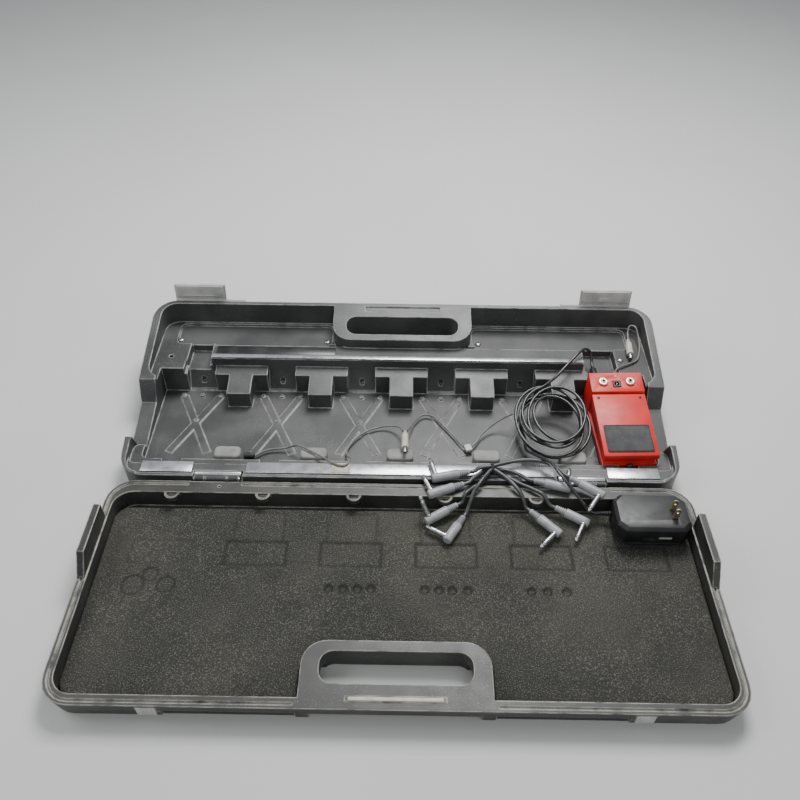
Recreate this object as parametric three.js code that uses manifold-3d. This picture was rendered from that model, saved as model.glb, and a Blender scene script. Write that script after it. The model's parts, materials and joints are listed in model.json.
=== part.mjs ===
// Moulded carrying pedalboard for compact effect pedals, opened flat: base tray behind, lid in front,
// with a red power unit, its wall adapter and the leads. Millimetres, +Z up, +Y away from the player.
// Everything is laid out from the lid's hinge line; the group is moved at the end to its own centre.
import * as THREE from "three";
import { mergeVertices } from "three/addons/utils/BufferGeometryUtils.js";
import Module from "manifold-3d";

const wasm = await Module();
wasm.setup();
const { Manifold, Mesh } = wasm;

// ---- Case ----------------------------------------------------------------------------------
const HALF_W = 352; // half the case's width
const REACH = 288; // from the hinge line to the far rim, along the rim
const SEAM = 4; // from the hinge line to each shell
const HINGE_Z = 29; // height of the hinge line
const RIM_GAP = 0.3; // each rim stands this far below the hinge plane
const SLOPE_DEG = 11.6; // the base's rim rises towards its handle
const SLOPE = THREE.MathUtils.degToRad(SLOPE_DEG);
const BASE_REAR = REACH * Math.cos(SLOPE); // the wedge's upright rear wall
const DRAFT = 5; // how far the walls lean in at the bottom
const CORNER_R = 32;
const RIM_W = 10;
const FLOOR = 3; // shell thickness
const ORIGIN_Y = 2.085; // the row's origin, behind the hinge line

// ---- Bays ----------------------------------------------------------------------------------
const PITCH = 110; // one pedal bay to the next
const BAY_COUNT = 6;
const BAY_FLOOR = 11;
const BAY_HALF_W = 328; // half-width of the six bays together
const RAIL_BACK = 38; // the front rail's rear edge
const RAIL_TOP = 27;
const DECK_FRONT = 175; // front of the dividers' cross-bars
const STEM_FRONT = 144;
const DIVIDER_DROP = 22.5; // the dividers' tops below the rim plane
const LEDGE_DROP = 25.6; // the side ledges below the rim plane
const TRUNK = { x0: -262, x1: 250, y0: 190, y1: 218, top: 58 }; // raised rail behind the bays
const SHELF = { x0: 297, top: 52, y0: 150, y1: 228 }; // the corner shelves, wide behind the bays
const WELL = { x0: 99, x1: 318, y0: 228, y1: 272, floor: 48 };
const CHANNEL = { left: 265, right: 253, x1: 296, top: 37 };

// ---- Handle --------------------------------------------------------------------------------
const SLOT = { halfX: 78, near: 226, far: 261, r: 14 };
const HOUSING = { halfX: 97, near: 214, r: 26 };

// ---- Lid -----------------------------------------------------------------------------------
const LID_TOP = HINGE_Z - RIM_GAP;
const LID_BAND = 22; // hinge-side rim of the lid
const EAR = { r0: 60, r1: 127, r2: 147, rise: 25, thick: 8.5 };
const FOAM_TOP = 12.6;

// ---- Unit, adapter and leads ---------------------------------------------------------------
const UNIT = { x: 291, y: 40, z: 14, yaw: 2.1, halfW: 35.2, length: 128 };
const DECK = { y0: 97, z0: 43, z1: 49 }; // the unit's upper face, front edge and rear edge
const TREADLE = { y1: 95, z0: 25, z1: 40, pivotZ: 34 };
const ADAPTER = { x0: 252, x1: 338, y0: -79, y1: -26, z0: 12.9, z1: 45 };
const PATCH_D = 5;
const DC_D = 2.6;
const MAINS_D = 4;
const COIL = { x: 198, y: 98, z: 42, outer: 50, inner: 33, height: 13, tilt: 8, stretch: 1.16 };

const LOOK = {
  shell: [0x6d6e6c, 0.55, 0],
  lid: [0x5c5d59, 0.55, 0],
  foam: [0x3b3a33, 0.95, 0],
  silver: [0xc9cccd, 0.3, 0.9],
  plate: [0x2b2c2e, 0.5, 0],
  latch: [0xa9aca6, 0.5, 0],
  stop: [0x9c9d95, 0.85, 0],
  red: [0xd42a24, 0.4, 0],
  rubber: [0x3a3a3b, 0.9, 0],
  black: [0x1a1b1c, 0.5, 0],
  brass: [0xb79a5a, 0.35, 0.9],
  jack: [0xc8c4b4, 0.35, 0.7],
  steel: [0xb9bcbf, 0.3, 0.9],
  cream: [0xc9c5ad, 0.6, 0],
  lead: [0x4a4c4d, 0.6, 0],
  plug: [0x8c8f90, 0.5, 0],
  thin: [0x6f716f, 0.6, 0],
};

const root = new THREE.Group();
root.name = "pedalboard";

// ---- Small tools ---------------------------------------------------------------------------
const range = (n) => [...Array(n).keys()];
const deg = THREE.MathUtils.degToRad;
const vector = (p) => new THREE.Vector3(...p);

function geometryOf(solid) {
  const mesh = solid.getMesh();
  const geometry = new THREE.BufferGeometry();
  geometry.setAttribute("position", new THREE.BufferAttribute(new Float32Array(mesh.vertProperties), 3));
  geometry.setIndex(new THREE.BufferAttribute(new Uint32Array(mesh.triVerts), 1));
  return geometry;
}

function addMesh(name, geometry, look) {
  const [color, roughness, metalness] = LOOK[look];
  const material = new THREE.MeshStandardMaterial({ color, roughness, metalness });
  material.name = look;
  const mesh = new THREE.Mesh(geometry, material);
  mesh.name = name;
  root.add(mesh);
  return mesh;
}

const add = (name, solid, look) => addMesh(name, geometryOf(solid), look);

// A closed three.js geometry as a solid that can be cut and joined.
function solidOf(geometry) {
  geometry.deleteAttribute("normal");
  geometry.deleteAttribute("uv");
  const { attributes, index } = mergeVertices(geometry, 1e-4);
  const vertProperties = attributes.position.array;
  return new Manifold(new Mesh({ numProp: 3, vertProperties, triVerts: new Uint32Array(index.array) }));
}

function box(x0, x1, y0, y1, z0, z1) {
  const geometry = new THREE.BoxGeometry(x1 - x0, y1 - y0, z1 - z0);
  return solidOf(geometry.translate((x0 + x1) / 2, (y0 + y1) / 2, (z0 + z1) / 2));
}

const outlineOf = (points) => points.map(([x, y]) => new THREE.Vector2(x, y));

// A rectangle with round corners, as one outline.
function roundRect(x0, x1, y0, y1, r, steps = 6) {
  const centres = [[x1 - r, y1 - r, 0], [x0 + r, y1 - r, 90], [x0 + r, y0 + r, 180], [x1 - r, y0 + r, 270]];
  const arc = ([cx, cy, from]) =>
    range(steps + 1).map((k) => {
      const a = deg(from + (90 * k) / steps);
      return [cx + r * Math.cos(a), cy + r * Math.sin(a)];
    });
  return outlineOf(centres.flatMap(arc));
}

function extrude(outline, depth) {
  return new THREE.ExtrudeGeometry(new THREE.Shape(outline), { depth, bevelEnabled: false });
}

const pad = (x0, x1, y0, y1, r, z0, z1, steps) =>
  solidOf(extrude(roundRect(x0, x1, y0, y1, r, steps), z1 - z0).translate(0, 0, z0));

// A side outline of (y, z) points carried from x0 to x1.
function slice(points, x0, x1) {
  const turn = new THREE.Matrix4().makeBasis(vector([0, 1, 0]), vector([0, 0, 1]), vector([1, 0, 0]));
  return solidOf(extrude(outlineOf(points), x1 - x0).applyMatrix4(turn).translate(x0, 0, 0));
}

// A closed body through [outline, height] layers, each outline with as many points.
function loft(layers) {
  const n = layers[0][0].length;
  const top = (layers.length - 1) * n;
  const position = layers.flatMap(([outline, z]) => outline.flatMap((p) => [p.x, p.y, z]));
  const walls = range(top).flatMap((a) => {
    const b = a - (a % n) + ((a + 1) % n);
    return [a, b, b + n, a, b + n, a + n];
  });
  const caps = THREE.ShapeUtils.triangulateShape(layers[0][0], []).flatMap(([a, b, c]) => [
    a, c, b, top + a, top + b, top + c,
  ]);
  const geometry = new THREE.BufferGeometry();
  geometry.setAttribute("position", new THREE.Float32BufferAttribute(position, 3));
  geometry.setIndex([...walls, ...caps]);
  return solidOf(geometry);
}

// A round bar between two points, r wide at the first and r2 at the second.
function bar(a, b, r, r2 = r, sides = 16) {
  const from = vector(a);
  const way = vector(b).sub(from);
  const geometry = new THREE.CylinderGeometry(r2, r, way.length(), sides).translate(0, way.length() / 2, 0);
  const turn = new THREE.Quaternion().setFromUnitVectors(vector([0, 1, 0]), way.clone().normalize());
  return solidOf(geometry.applyQuaternion(turn).translate(from.x, from.y, from.z));
}

// An upright round bar on the origin.
const post = (height, r, r2 = r, sides = 16) => bar([0, 0, 0], [0, 0, height], r, r2, sides);

// The point that lies a distance from p along a direction.
const at = (p, way, distance) => p.clone().addScaledVector(way, distance).toArray();

// From the rim's own frame (r along the rim, h above it) to the row's frame, on the base's side.
const onRim = (solid) => solid.rotate([SLOPE_DEG, 0, 0]).translate([0, 0, HINGE_Z]);
const both = (make) => make(1).add(make(-1));
const centres = range(BAY_COUNT).map((k) => (k - (BAY_COUNT - 1) / 2) * PITCH);
const dividers = range(BAY_COUNT - 1).map((k) => (k - (BAY_COUNT - 2) / 2) * PITCH);

// ---- Base shell ----------------------------------------------------------------------------
function baseBlock() {
  const low = roundRect(-HALF_W + DRAFT, HALF_W - DRAFT, SEAM + 1, BASE_REAR - DRAFT, CORNER_R - DRAFT);
  const high = roundRect(-HALF_W, HALF_W, SEAM, BASE_REAR, CORNER_R);
  const over = box(-500, 500, -50, 500, -RIM_GAP, 200);
  return loft([[low, 0], [high, 97]]).subtract(onRim(over));
}

function earNotches() {
  const outline = [
    [EAR.r0 - 1.5, 6], [EAR.r0 - 1.5, -LEDGE_DROP], [EAR.r1 + 1, -LEDGE_DROP],
    [EAR.r2 + 1.5, 0], [EAR.r2 + 1.5, 6],
  ];
  const inner = BAY_HALF_W - 1;
  return onRim(both((s) => (s > 0 ? slice(outline, inner, 400) : slice(outline, -400, -inner))));
}

// The space over the bays, with the dividers left standing in it.
function bayCavity() {
  const cavity = pad(-BAY_HALF_W, BAY_HALF_W, RAIL_BACK, TRUNK.y0, 8, BAY_FLOOR, 120, 3);
  const overRail = pad(-HALF_W + RIM_W, HALF_W - RIM_W, 9, 80, 18, RAIL_TOP, 120, 4).subtract(
    box(-400, 400, RAIL_BACK + 0.01, 90, 0, 200),
  );
  const cornerLedge = pad(-HALF_W + RIM_W, HALF_W - RIM_W, RAIL_BACK - 12, 62, 10, 22, 120, 3);
  const step = (s) => box(s > 0 ? SHELF.x0 : -400, s > 0 ? 400 : -SHELF.x0, DECK_FRONT, 400, 0, SHELF.top);
  return cavity.subtract(both(step)).subtract(dividerBlocks()).add(overRail).add(cornerLedge);
}

function dividerBlocks() {
  const under = onRim(box(-500, 500, -50, 500, -200, -DIVIDER_DROP));
  const stems = dividers.map((x) => box(x - 16, x + 16, STEM_FRONT, 260, 0, 90));
  const bars = box(-SHELF.x0 - 10, SHELF.x0 + 10, DECK_FRONT, 260, 0, 90);
  const rear = TRUNK.y0 + 2;
  const outline = [[160, BAY_FLOOR], [178, BAY_FLOOR + 2], [rear, 40], [rear, 120], [160, 120]];
  const ramps = centres.map((x) => slice(outline, x - 19, x + 19));
  return Manifold.union(stems).add(bars).intersect(under).subtract(Manifold.union(ramps));
}

// The upper level behind the bays: shelves, cable channels, trunk rail and wells.
function upperCavity() {
  const open = pad(-HALF_W + RIM_W + 2, HALF_W - RIM_W - 2, SHELF.y0, WELL.y1 + 4, 20, SHELF.top, 120);
  const deck = box(-CHANNEL.x1, CHANNEL.x1, DECK_FRONT, WELL.y0 + 1, CHANNEL.top, 120).intersect(
    onRim(box(-500, 500, -50, 500, -DIVIDER_DROP, 200)),
  );
  const channels = both((s) => {
    const x = [s * (s > 0 ? CHANNEL.right : CHANNEL.left), s * CHANNEL.x1].sort((a, b) => a - b);
    return box(x[0], x[1], TRUNK.y0 - 1, WELL.y0 + 1, CHANNEL.top, 120);
  });
  const wells = both((s) => {
    const x = [s * WELL.x0, s * WELL.x1].sort((a, b) => a - b);
    return pad(x[0], x[1], WELL.y0, WELL.y1, 8, WELL.floor, 120, 3);
  });
  const trunk = box(TRUNK.x0, TRUNK.x1, TRUNK.y0, TRUNK.y1, 0, TRUNK.top);
  const housing = pad(-HOUSING.halfX, HOUSING.halfX, HOUSING.near + 2, 400, HOUSING.r, 0, 200);
  const behind = box(TRUNK.x0, TRUNK.x1, TRUNK.y1, WELL.y0 + 1, WELL.floor, 120);
  return open.add(deck).add(channels).add(wells).add(behind).subtract(trunk).subtract(housing);
}

function ribs() {
  const z = BAY_FLOOR - 1.5;
  const across = (x, s) => bar([x + s * 25, 163, z], [x - s * 25, 58, z], 6, 6, 8);
  const boss = (x, y) => post(4, 3.4, 2.8, 12).translate([x, y, BAY_FLOOR - 1.2]);
  const flat = box(-400, 400, 0, 300, 0, BAY_FLOOR + 1.2);
  const each = centres.map((x) => {
    const bosses = [boss(x - 26, 164), boss(x + 26, 164), boss(x, 164), boss(x, 116)];
    return Manifold.union([across(x, 1).add(across(x, -1)).intersect(flat), ...bosses]);
  });
  return Manifold.union(each);
}

function baseHoles() {
  const screw = (x, y, z) => post(8, 3, 3, 12).translate([x, y, z - 6]);
  const pads = centres.map((x) => screw(x, 184, 26));
  const shelves = both((s) => screw(s * 319, 200, SHELF.top + 1));
  const notches = centres.map((x) => {
    const shift = Math.abs(x) > 2 * PITCH ? Math.sign(x) * 14 : 0;
    return box(x + shift - 12, x + shift + 12, RAIL_BACK - 9, RAIL_BACK + 1, BAY_FLOOR, 90);
  });
  return Manifold.union([...pads, shelves, ...notches]);
}

function handleOpening() {
  const through = pad(-SLOT.halfX, SLOT.halfX, SLOT.near, SLOT.far - 4, SLOT.r, -10, 200);
  const under = box(-SLOT.halfX - 8, SLOT.halfX + 8, SLOT.near + 4, 400, -10, 46);
  const lip = box(-HALF_W + 26, HALF_W - 26, 0, 12, 28.4, 60);
  const groove = onRim(box(-53, 53, 272, 281, -2.4, 20));
  return through.add(under).add(groove).add(lip);
}

function hingePocket(s) {
  const x = [s * 194, s * 255].sort((a, b) => a - b);
  return box(x[0], x[1], 0, 14.5, 20, 60);
}

// Half of the case's hinge: knuckles on a flange, standing round the pin.
function knuckles(s, side) {
  const span = side < 0 ? [[197, 211], [239, 252]] : [[212, 238]];
  const solids = span.map(([a, b]) => {
    const x = [s * a, s * b].sort((p, q) => p - q);
    const barrel = bar([x[0], 0, HINGE_Z], [x[1], 0, HINGE_Z], 3.4);
    const leaf = box(x[0], x[1], Math.min(0, side * 9), Math.max(0, side * 9), 14, 20);
    const y = [side * 0.2, side * 3.4].sort((p, q) => p - q);
    const web = box(x[0], x[1], y[0], y[1], 18, HINGE_Z);
    return barrel.add(leaf).add(web);
  });
  const bore = bar([-400, 0, HINGE_Z], [400, 0, HINGE_Z], 1.8);
  return Manifold.union(solids).subtract(bore);
}

function hingeRelief(s, side) {
  const span = side < 0 ? [[210.6, 239.4]] : [[196.6, 212], [238, 252.4]];
  return Manifold.union(
    span.map(([a, b]) => {
      const x = [s * a, s * b].sort((p, q) => p - q);
      return box(x[0], x[1], Math.min(0, side * 4.6), Math.max(0, side * 4.6), -5, 60);
    }),
  );
}

function makeBase() {
  const hollow = Manifold.union([bayCavity(), upperCavity(), earNotches()]);
  let shell = baseBlock().subtract(hollow).add(ribs()).subtract(baseHoles()).subtract(handleOpening());
  // moulded hollow under the deck, so the tray is a skin and not a block
  const under = pad(-300, 300, 190, 258, 20, -1, 30).subtract(
    pad(-HOUSING.halfX - 3, HOUSING.halfX + 3, 150, 400, 20, -5, 60),
  );
  shell = shell.subtract(under);
  for (const s of [1, -1]) {
    shell = shell.subtract(hingePocket(s)).add(knuckles(s, 1)).subtract(hingeRelief(s, 1));
  }
  add("base_shell", shell, "shell");
}

// ---- Trim on the base ----------------------------------------------------------------------
function makeTrim() {
  const { x0, x1, y0, top } = TRUNK;
  add("label_plate", box(-256, -92, y0 + 9, y0 + 25, top + 0.3, top + 1.3), "plate");
  add("trim_strip", box(x0 + 1, x1 - 1, y0 + 0.6, y0 + 7.6, top + 0.3, top + 2.1), "silver");
  const strip = (x0, x1) => box(x0, x1, 11.2, 28, RAIL_TOP + 0.3, RAIL_TOP + 1.4);
  add("rail_strip_left", strip(-322, -258), "silver");
  add("rail_strip_middle", strip(-191, 191), "silver");
  add("rail_strip_right", strip(258, 322), "silver");
  for (const [side, s] of [["left", -1], ["right", 1]]) {
    const x = [s * 196, s * 253].sort((a, b) => a - b);
    const cover = bar([x[0], 9.6, 25.6], [x[1], 9.6, 25.6], 4.2).add(box(x[0], x[1], 5.6, 14, 20.4, 24));
    add(`hinge_cover_${side}`, cover.intersect(box(-400, 400, 5.4, 14.2, 20.3, 40)), "silver");
  }
  add("hinge_pin_left", bar([-253, 0, HINGE_Z], [-196, 0, HINGE_Z], 1.75), "steel");
  add("hinge_pin_right", bar([196, 0, HINGE_Z], [253, 0, HINGE_Z], 1.75), "steel");
  dividers.forEach((x, k) => {
    const body = roundRect(x - 17, x + 17, RAIL_BACK + 1, RAIL_BACK + 20, 6, 4);
    const crown = roundRect(x - 15.5, x + 15.5, RAIL_BACK + 2.5, RAIL_BACK + 18.5, 5, 4);
    add(`pedal_stop_${k + 1}`, loft([[body, BAY_FLOOR + 0.3], [body, 24], [crown, 26]]), "stop");
  });
}

// ---- Draw latches --------------------------------------------------------------------------
const LATCH = { x0: 252, x1: 324, y: BASE_REAR + 3.6, z: 84, tall: 25, lean: 8 };

function makeLatch(side, s) {
  const span = (a, b) => [s * a, s * b].sort((p, q) => p - q);
  const [bx0, bx1] = span(226, 250.6);
  const [px0, px1] = span(226, 322);
  const wall = BASE_REAR + 0.1;
  const barrel = bar([bx0, LATCH.y, LATCH.z], [bx1, LATCH.y, LATCH.z], 2.6);
  const plate = box(px0, px1, wall, wall + 0.7, 66, 80);
  const arm = box(bx0, bx1, wall, LATCH.y + 0.5, 72, LATCH.z - 1);
  const stub = bar([s * 250, LATCH.y, LATCH.z], [s * 262, LATCH.y, LATCH.z], 1.2);
  add(`latch_bracket_${side}`, Manifold.union([barrel, plate, arm, stub]), "latch");

  const [x0, x1] = span(LATCH.x0, LATCH.x1);
  const blade = box(x0, x1, -1.2, 1.2, 1.4, LATCH.tall);
  const lip = box(x0, x1, -1.2, 3.2, LATCH.tall - 2.5, LATCH.tall);
  const rib = box(x0 + 14, x1 - 14, 0, 3.0, 6, 17);
  const roll = bar([x0, 0, 0], [x1, 0, 0], 2.6);
  const bore = bar([s * 251, 0, 0], [s * 264, 0, 0], 1.5);
  const pins = [0.3, 0.7].map((t) => {
    const x = x0 + (x1 - x0) * t;
    return bar([x, -3, 10], [x, 4, 10], 1.5);
  });
  const lever = Manifold.union([blade, lip, rib, roll]).subtract(bore).subtract(Manifold.union(pins));
  add(`latch_${side}`, lever.rotate([-LATCH.lean, 0, 0]).translate([0, LATCH.y, LATCH.z]), "latch");
}

// ---- Lid -----------------------------------------------------------------------------------
function lidBlock() {
  const low = roundRect(-HALF_W + DRAFT, HALF_W - DRAFT, -REACH + DRAFT, -SEAM - 1, CORNER_R - DRAFT);
  const high = roundRect(-HALF_W, HALF_W, -REACH, -SEAM, CORNER_R);
  return loft([[low, 0], [high, LID_TOP]]);
}

function lidCavity() {
  const inner = pad(
    -HALF_W + RIM_W, HALF_W - RIM_W, -REACH + 12, -LID_BAND, 22, FLOOR, 100,
  );
  const housing = pad(-HOUSING.halfX, HOUSING.halfX, -500, -HOUSING.near, HOUSING.r, -5, 200);
  return inner.subtract(housing);
}

function lidHandle() {
  const through = pad(-SLOT.halfX, SLOT.halfX, -SLOT.far, -SLOT.near, SLOT.r, -10, 200);
  const under = box(-SLOT.halfX - 8, SLOT.halfX + 8, -400, -SLOT.near - 4, -10, 12);
  return through.add(under);
}

function lidGroove() {
  const ring = (inset) => {
    const half = HALF_W - inset;
    return pad(-half, half, -REACH + inset, -SEAM - inset, CORNER_R - inset, LID_TOP - 1.4, LID_TOP + 2);
  };
  const handle = box(-HOUSING.halfX - 4, HOUSING.halfX + 4, -400, -200, 0, 100);
  const hinges = both((s) => {
    const x = [s * 192, s * 257].sort((a, b) => a - b);
    return box(x[0], x[1], -20, 5, 0, 100);
  });
  return ring(4).subtract(ring(6.2)).subtract(handle).subtract(hinges);
}

function ears() {
  const outline = [
    [-EAR.r0, LID_TOP - 18], [-EAR.r0 - 1.5, LID_TOP + EAR.rise], [-EAR.r1, LID_TOP + EAR.rise],
    [-EAR.r2, LID_TOP], [-EAR.r2, LID_TOP - 18],
  ].reverse();
  const skin = both((s) => {
    const x = [s * (HALF_W - EAR.thick), s * (HALF_W - 0.4)].sort((a, b) => a - b);
    return slice(outline, x[0], x[1]);
  });
  return skin;
}

function tabs() {
  const each = centres.slice(0, 5).map((x) => {
    const disc = post(6, 9, 9, 20).subtract(post(4, 6.4).translate([0, 0, 3]));
    const half = disc.intersect(box(-20, 20, -20, 0.6, -1, 20));
    return half.translate([x, -LID_BAND, LID_TOP - 6.6]);
  });
  return Manifold.union(each);
}

function frontRecesses() {
  const long = both((s) => {
    const x = [s * 100, s * 232].sort((a, b) => a - b);
    return box(x[0], x[1], -REACH - 5, -REACH + 6.6, -1, 15);
  });
  const catches = both((s) => {
    const x = [s * 234.6, s * 254.4].sort((a, b) => a - b);
    return box(x[0], x[1], -REACH - 5, -REACH + 5.4, 8, 24);
  });
  return long.add(catches);
}

function makeLid() {
  let shell = lidBlock().subtract(lidCavity()).add(ears()).add(tabs());
  shell = shell.subtract(lidHandle()).subtract(lidGroove()).subtract(frontRecesses());
  shell = shell.add(onLidRib()).subtract(post(5, 1.5, 1.5, 12).translate([-219, -12, LID_TOP - 3]));
  for (const s of [1, -1]) {
    shell = shell.subtract(lidPocket(s)).add(knuckles(s, -1)).subtract(hingeRelief(s, -1));
  }
  add("lid_shell", shell, "lid");
  const half = HALF_W - RIM_W - 1;
  const foam = pad(-half, half, -REACH + 16, -LID_BAND - 10, 18, FLOOR + 0.3, FOAM_TOP);
  const aside = HOUSING.halfX + 3;
  const cut = pad(-aside, aside, -500, -HOUSING.near + 3, HOUSING.r + 3, -5, 200);
  add("foam_pad", foam.subtract(cut), "foam");
  for (const [side, s] of [["left", -1], ["right", 1]]) {
    const x = [s * 235, s * 254].sort((a, b) => a - b);
    const plate = box(x[0], x[1], -REACH + 0.6, -REACH + 5, 8.4, 23.6);
    const hook = box(x[0] + 3, x[1] - 3, -REACH - 0.2, -REACH + 1, 16, 21);
    add(`lid_catch_${side}`, plate.add(hook), "latch");
  }
}

const onLidRib = () => box(-50, 50, -280, -274, LID_TOP - 2, LID_TOP + 1.1);

function lidPocket(s) {
  const x = [s * 194, s * 255].sort((a, b) => a - b);
  return box(x[0], x[1], -4.6, 0, 0, 60);
}

// ---- Red power unit ------------------------------------------------------------------------
const placeUnit = (solid) => solid.rotate([0, 0, UNIT.yaw]).translate([UNIT.x, UNIT.y, UNIT.z]);
const deckTilt = THREE.MathUtils.radToDeg(Math.atan2(DECK.z1 - DECK.z0, UNIT.length - DECK.y0));
const deckRise = (DECK.z1 - DECK.z0) / (UNIT.length - DECK.y0);
const onDeck = (solid, x, y) =>
  placeUnit(solid.rotate([deckTilt, 0, 0]).translate([x, y, DECK.z0 + (y - DECK.y0) * deckRise]));

function unitCase() {
  const w = UNIT.halfW;
  const tub = slice([[3.8, 2], [DECK.y0 + 2, 2], [DECK.y0 + 2, 32], [3.8, 16]], -w + 3.2, w - 3.2);
  const skirt = slice([[0, 2], [UNIT.length, 2], [UNIT.length, 8], [0, 8]], -w, w);
  const { y0, z0, z1 } = DECK;
  const rear = UNIT.length;
  const head = slice([[y0, 2], [rear, 2], [rear, z1 - 1], [rear - 1, z1], [y0, z0]], -w, w);
  const well = box(-w + 6, w - 6, 6, DECK.y0 - 4, 5, 60);
  const boss = post(14, 3).translate([0, 18, 3]);
  return Manifold.union([tub, skirt, head]).subtract(well).add(boss);
}

function unitTreadle() {
  const w = UNIT.halfW;
  const { y1, z0, z1 } = TREADLE;
  const outer = slice([[0, z0 - 8], [1, z0 - 9], [y1, z1 - 9], [y1, z1], [2, z0], [0, z0 - 1.5]], -w, w);
  const hollow = slice([[2.2, 0], [y1 + 2, 0], [y1 + 2, z1 - 2.4], [2.2, z0 - 2.4]], -w + 2.2, w - 2.2);
  return outer.subtract(hollow);
}

function makeUnit() {
  const w = UNIT.halfW;
  const sockets = [-18, 18].map((x) => onDeck(post(12, 3.4).translate([0, 0, -11]), x, 112));
  const dcHole = onDeck(box(-5.4, 5.4, -5.4, 5.4, -9, 4), 0, 109);
  const ledHole = onDeck(post(5, 1.9, 1.9, 12).translate([0, 0, -3]), 0, 121);
  const rearHoles = [-24, 2].map((x) => placeUnit(bar([x, 117, 36], [x, 140, 36], 3.4)));
  const shell = placeUnit(unitCase()).subtract(Manifold.union([...sockets, dcHole, ledHole, ...rearHoles]));
  add("unit_case", shell, "red");
  add("unit_base_plate", placeUnit(pad(-w, w, 0, UNIT.length, 4, 0, 1.7, 3)), "black");
  add("treadle", placeUnit(unitTreadle()), "red");
  const tilt = THREE.MathUtils.radToDeg(Math.atan2(TREADLE.z1 - TREADLE.z0, TREADLE.y1 - 2));
  const rubber = pad(-29.5, 29.5, 3, 44, 2, 0.3, 1.5, 3);
  add("treadle_pad", placeUnit(rubber.rotate([tilt, 0, 0]).translate([0, 2, TREADLE.z0])), "rubber");
  const spring = post(18.5, 6, 6, 20).subtract(post(22, 4.2, 4.2, 20).translate([0, 0, -2]));
  add("treadle_spring", placeUnit(spring.translate([0, 18, 5.3])), "steel");
  for (const [side, x] of [["left", -18], ["right", 18]]) {
    const nut = post(2.6, 6.4, 5.8, 24).subtract(post(8, 3.2).translate([0, 0, -3]));
    add(`jack_${side}`, onDeck(nut.translate([0, 0, 0.3]), x, 112), "jack");
  }
  const socket = box(-5, 5, -5, 5, -6, 1).subtract(post(9, 3).translate([0, 0, -3]));
  add("dc_socket", onDeck(socket, 0, 109), "black");
  const screw = bar([0, -5.6, 6.5], [0, -0.4, 6.5], 4.6, 4.6, 20).subtract(box(-0.6, 0.6, -7, -4.6, 0, 20));
  add("thumbscrew", placeUnit(screw), "black");
}

// ---- Wall adapter --------------------------------------------------------------------------
function adapterOutline(inset) {
  const { x0, x1, y0, y1 } = ADAPTER;
  const c = 9;
  return outlineOf([
    [x0 + inset + c, y0 + inset], [x1 - inset - c, y0 + inset], [x1 - inset, y0 + inset + c],
    [x1 - inset, y1 - inset - c], [x1 - inset - c, y1 - inset], [x0 + inset + c, y1 - inset],
    [x0 + inset, y1 - inset - c], [x0 + inset, y0 + inset + c],
  ]);
}

function makeAdapter() {
  const { x0, x1, y0, z0, z1 } = ADAPTER;
  const side = adapterOutline(0);
  const body = loft([[side, z0 + 6.3], [side, z1 - 4], [adapterOutline(3.2), z1]]);
  const window = box((x0 + x1) / 2 - 12, (x0 + x1) / 2 + 2, y0 - 1, y0 + 2, 25, 28.5);
  const seat = bar([x0 - 1, -42, 26], [x0 + 4, -42, 26], 3.9);
  const slots = [-63, -50.3].map((y) => box(315.2, 322.2, y - 1.1, y + 1.1, z1 - 8, z1 + 1));
  add("adapter_case", body.subtract(Manifold.union([window, seat, ...slots])), "black");
  add("adapter_cover", loft([[adapterOutline(2.4), z0], [side, z0 + 4], [side, z0 + 6]]), "black");
  [-63, -50.3].forEach((y, k) => {
    const section = (w, t) => {
      const corners = [[-w, -t], [w, -t], [w, t], [-w, t]];
      return outlineOf(corners.map(([u, v]) => [318.7 + u, y + v]));
    };
    const body = section(3.2, 0.75);
    const blade = loft([[body, z1 - 7.6], [body, z1 + 15], [section(1.7, 0.4), z1 + 17.5]]);
    const eye = bar([318.7, y - 3, z1 + 12], [318.7, y + 3, z1 + 12], 1.6, 1.6, 12);
    add(`adapter_blade_${k + 1}`, blade.subtract(eye), "brass");
  });
  const relief = bar([x0 + 3.6, -42, 26], [x0 - 17, -42, 26], 3.5, 2.6, 16);
  add("adapter_strain_relief", relief, "black");
}

// ---- Leads ---------------------------------------------------------------------------------
function tube(name, route, diameter, look, sides = 8) {
  const path = new THREE.CatmullRomCurve3(route.map((p) => new THREE.Vector3(...p)), false, "centripetal");
  const steps = Math.max(8, Math.min(80, Math.round(path.getLength() / (diameter * 2.6))));
  const ring = range(sides).map((k) => {
    const a = (2 * Math.PI * k) / sides;
    return new THREE.Vector2((diameter / 2) * Math.cos(a), (diameter / 2) * Math.sin(a));
  });
  const options = { steps, bevelEnabled: false, extrudePath: path };
  const geometry = new THREE.ExtrudeGeometry(new THREE.Shape(ring), options);
  geometry.deleteAttribute("normal");
  geometry.deleteAttribute("uv");
  addMesh(name, geometry, look);
}

// The way each patch lead runs between its two plugs.
const PATCH_ROUTES = [
  [[98, 17, 36.5], [114, 20, 37.2], [132, 26, 37], [155, 31, 37], [176, 27, 39], [192, 15, 42]],
  [[88, 0, 34.5], [98, 11, 33], [106, 18, 31.5], [114, 20, 31.3], [130, 19, 31.3], [146, 11, 33]],
  [[79, -21.5, 32.6], [90, -10, 32], [100, -2, 31.8], [108, 8, 31.3], [114, 14, 31.3], [128, 10, 31.3], [145, -2, 31.7],
    [160, -12, 33.4], [173, -21.5, 33.6]],
  [[78, -34, 26], [84, -25, 34], [90, -16.5, 38], [98, -6, 39], [106, 5, 38.4], [114, 14, 37.6], [124, 7, 37.6],
    [134, -3, 36.6], [141, -12, 35.6], [146, -20, 33.6], [149, -26.4, 29.6]],
];
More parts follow.
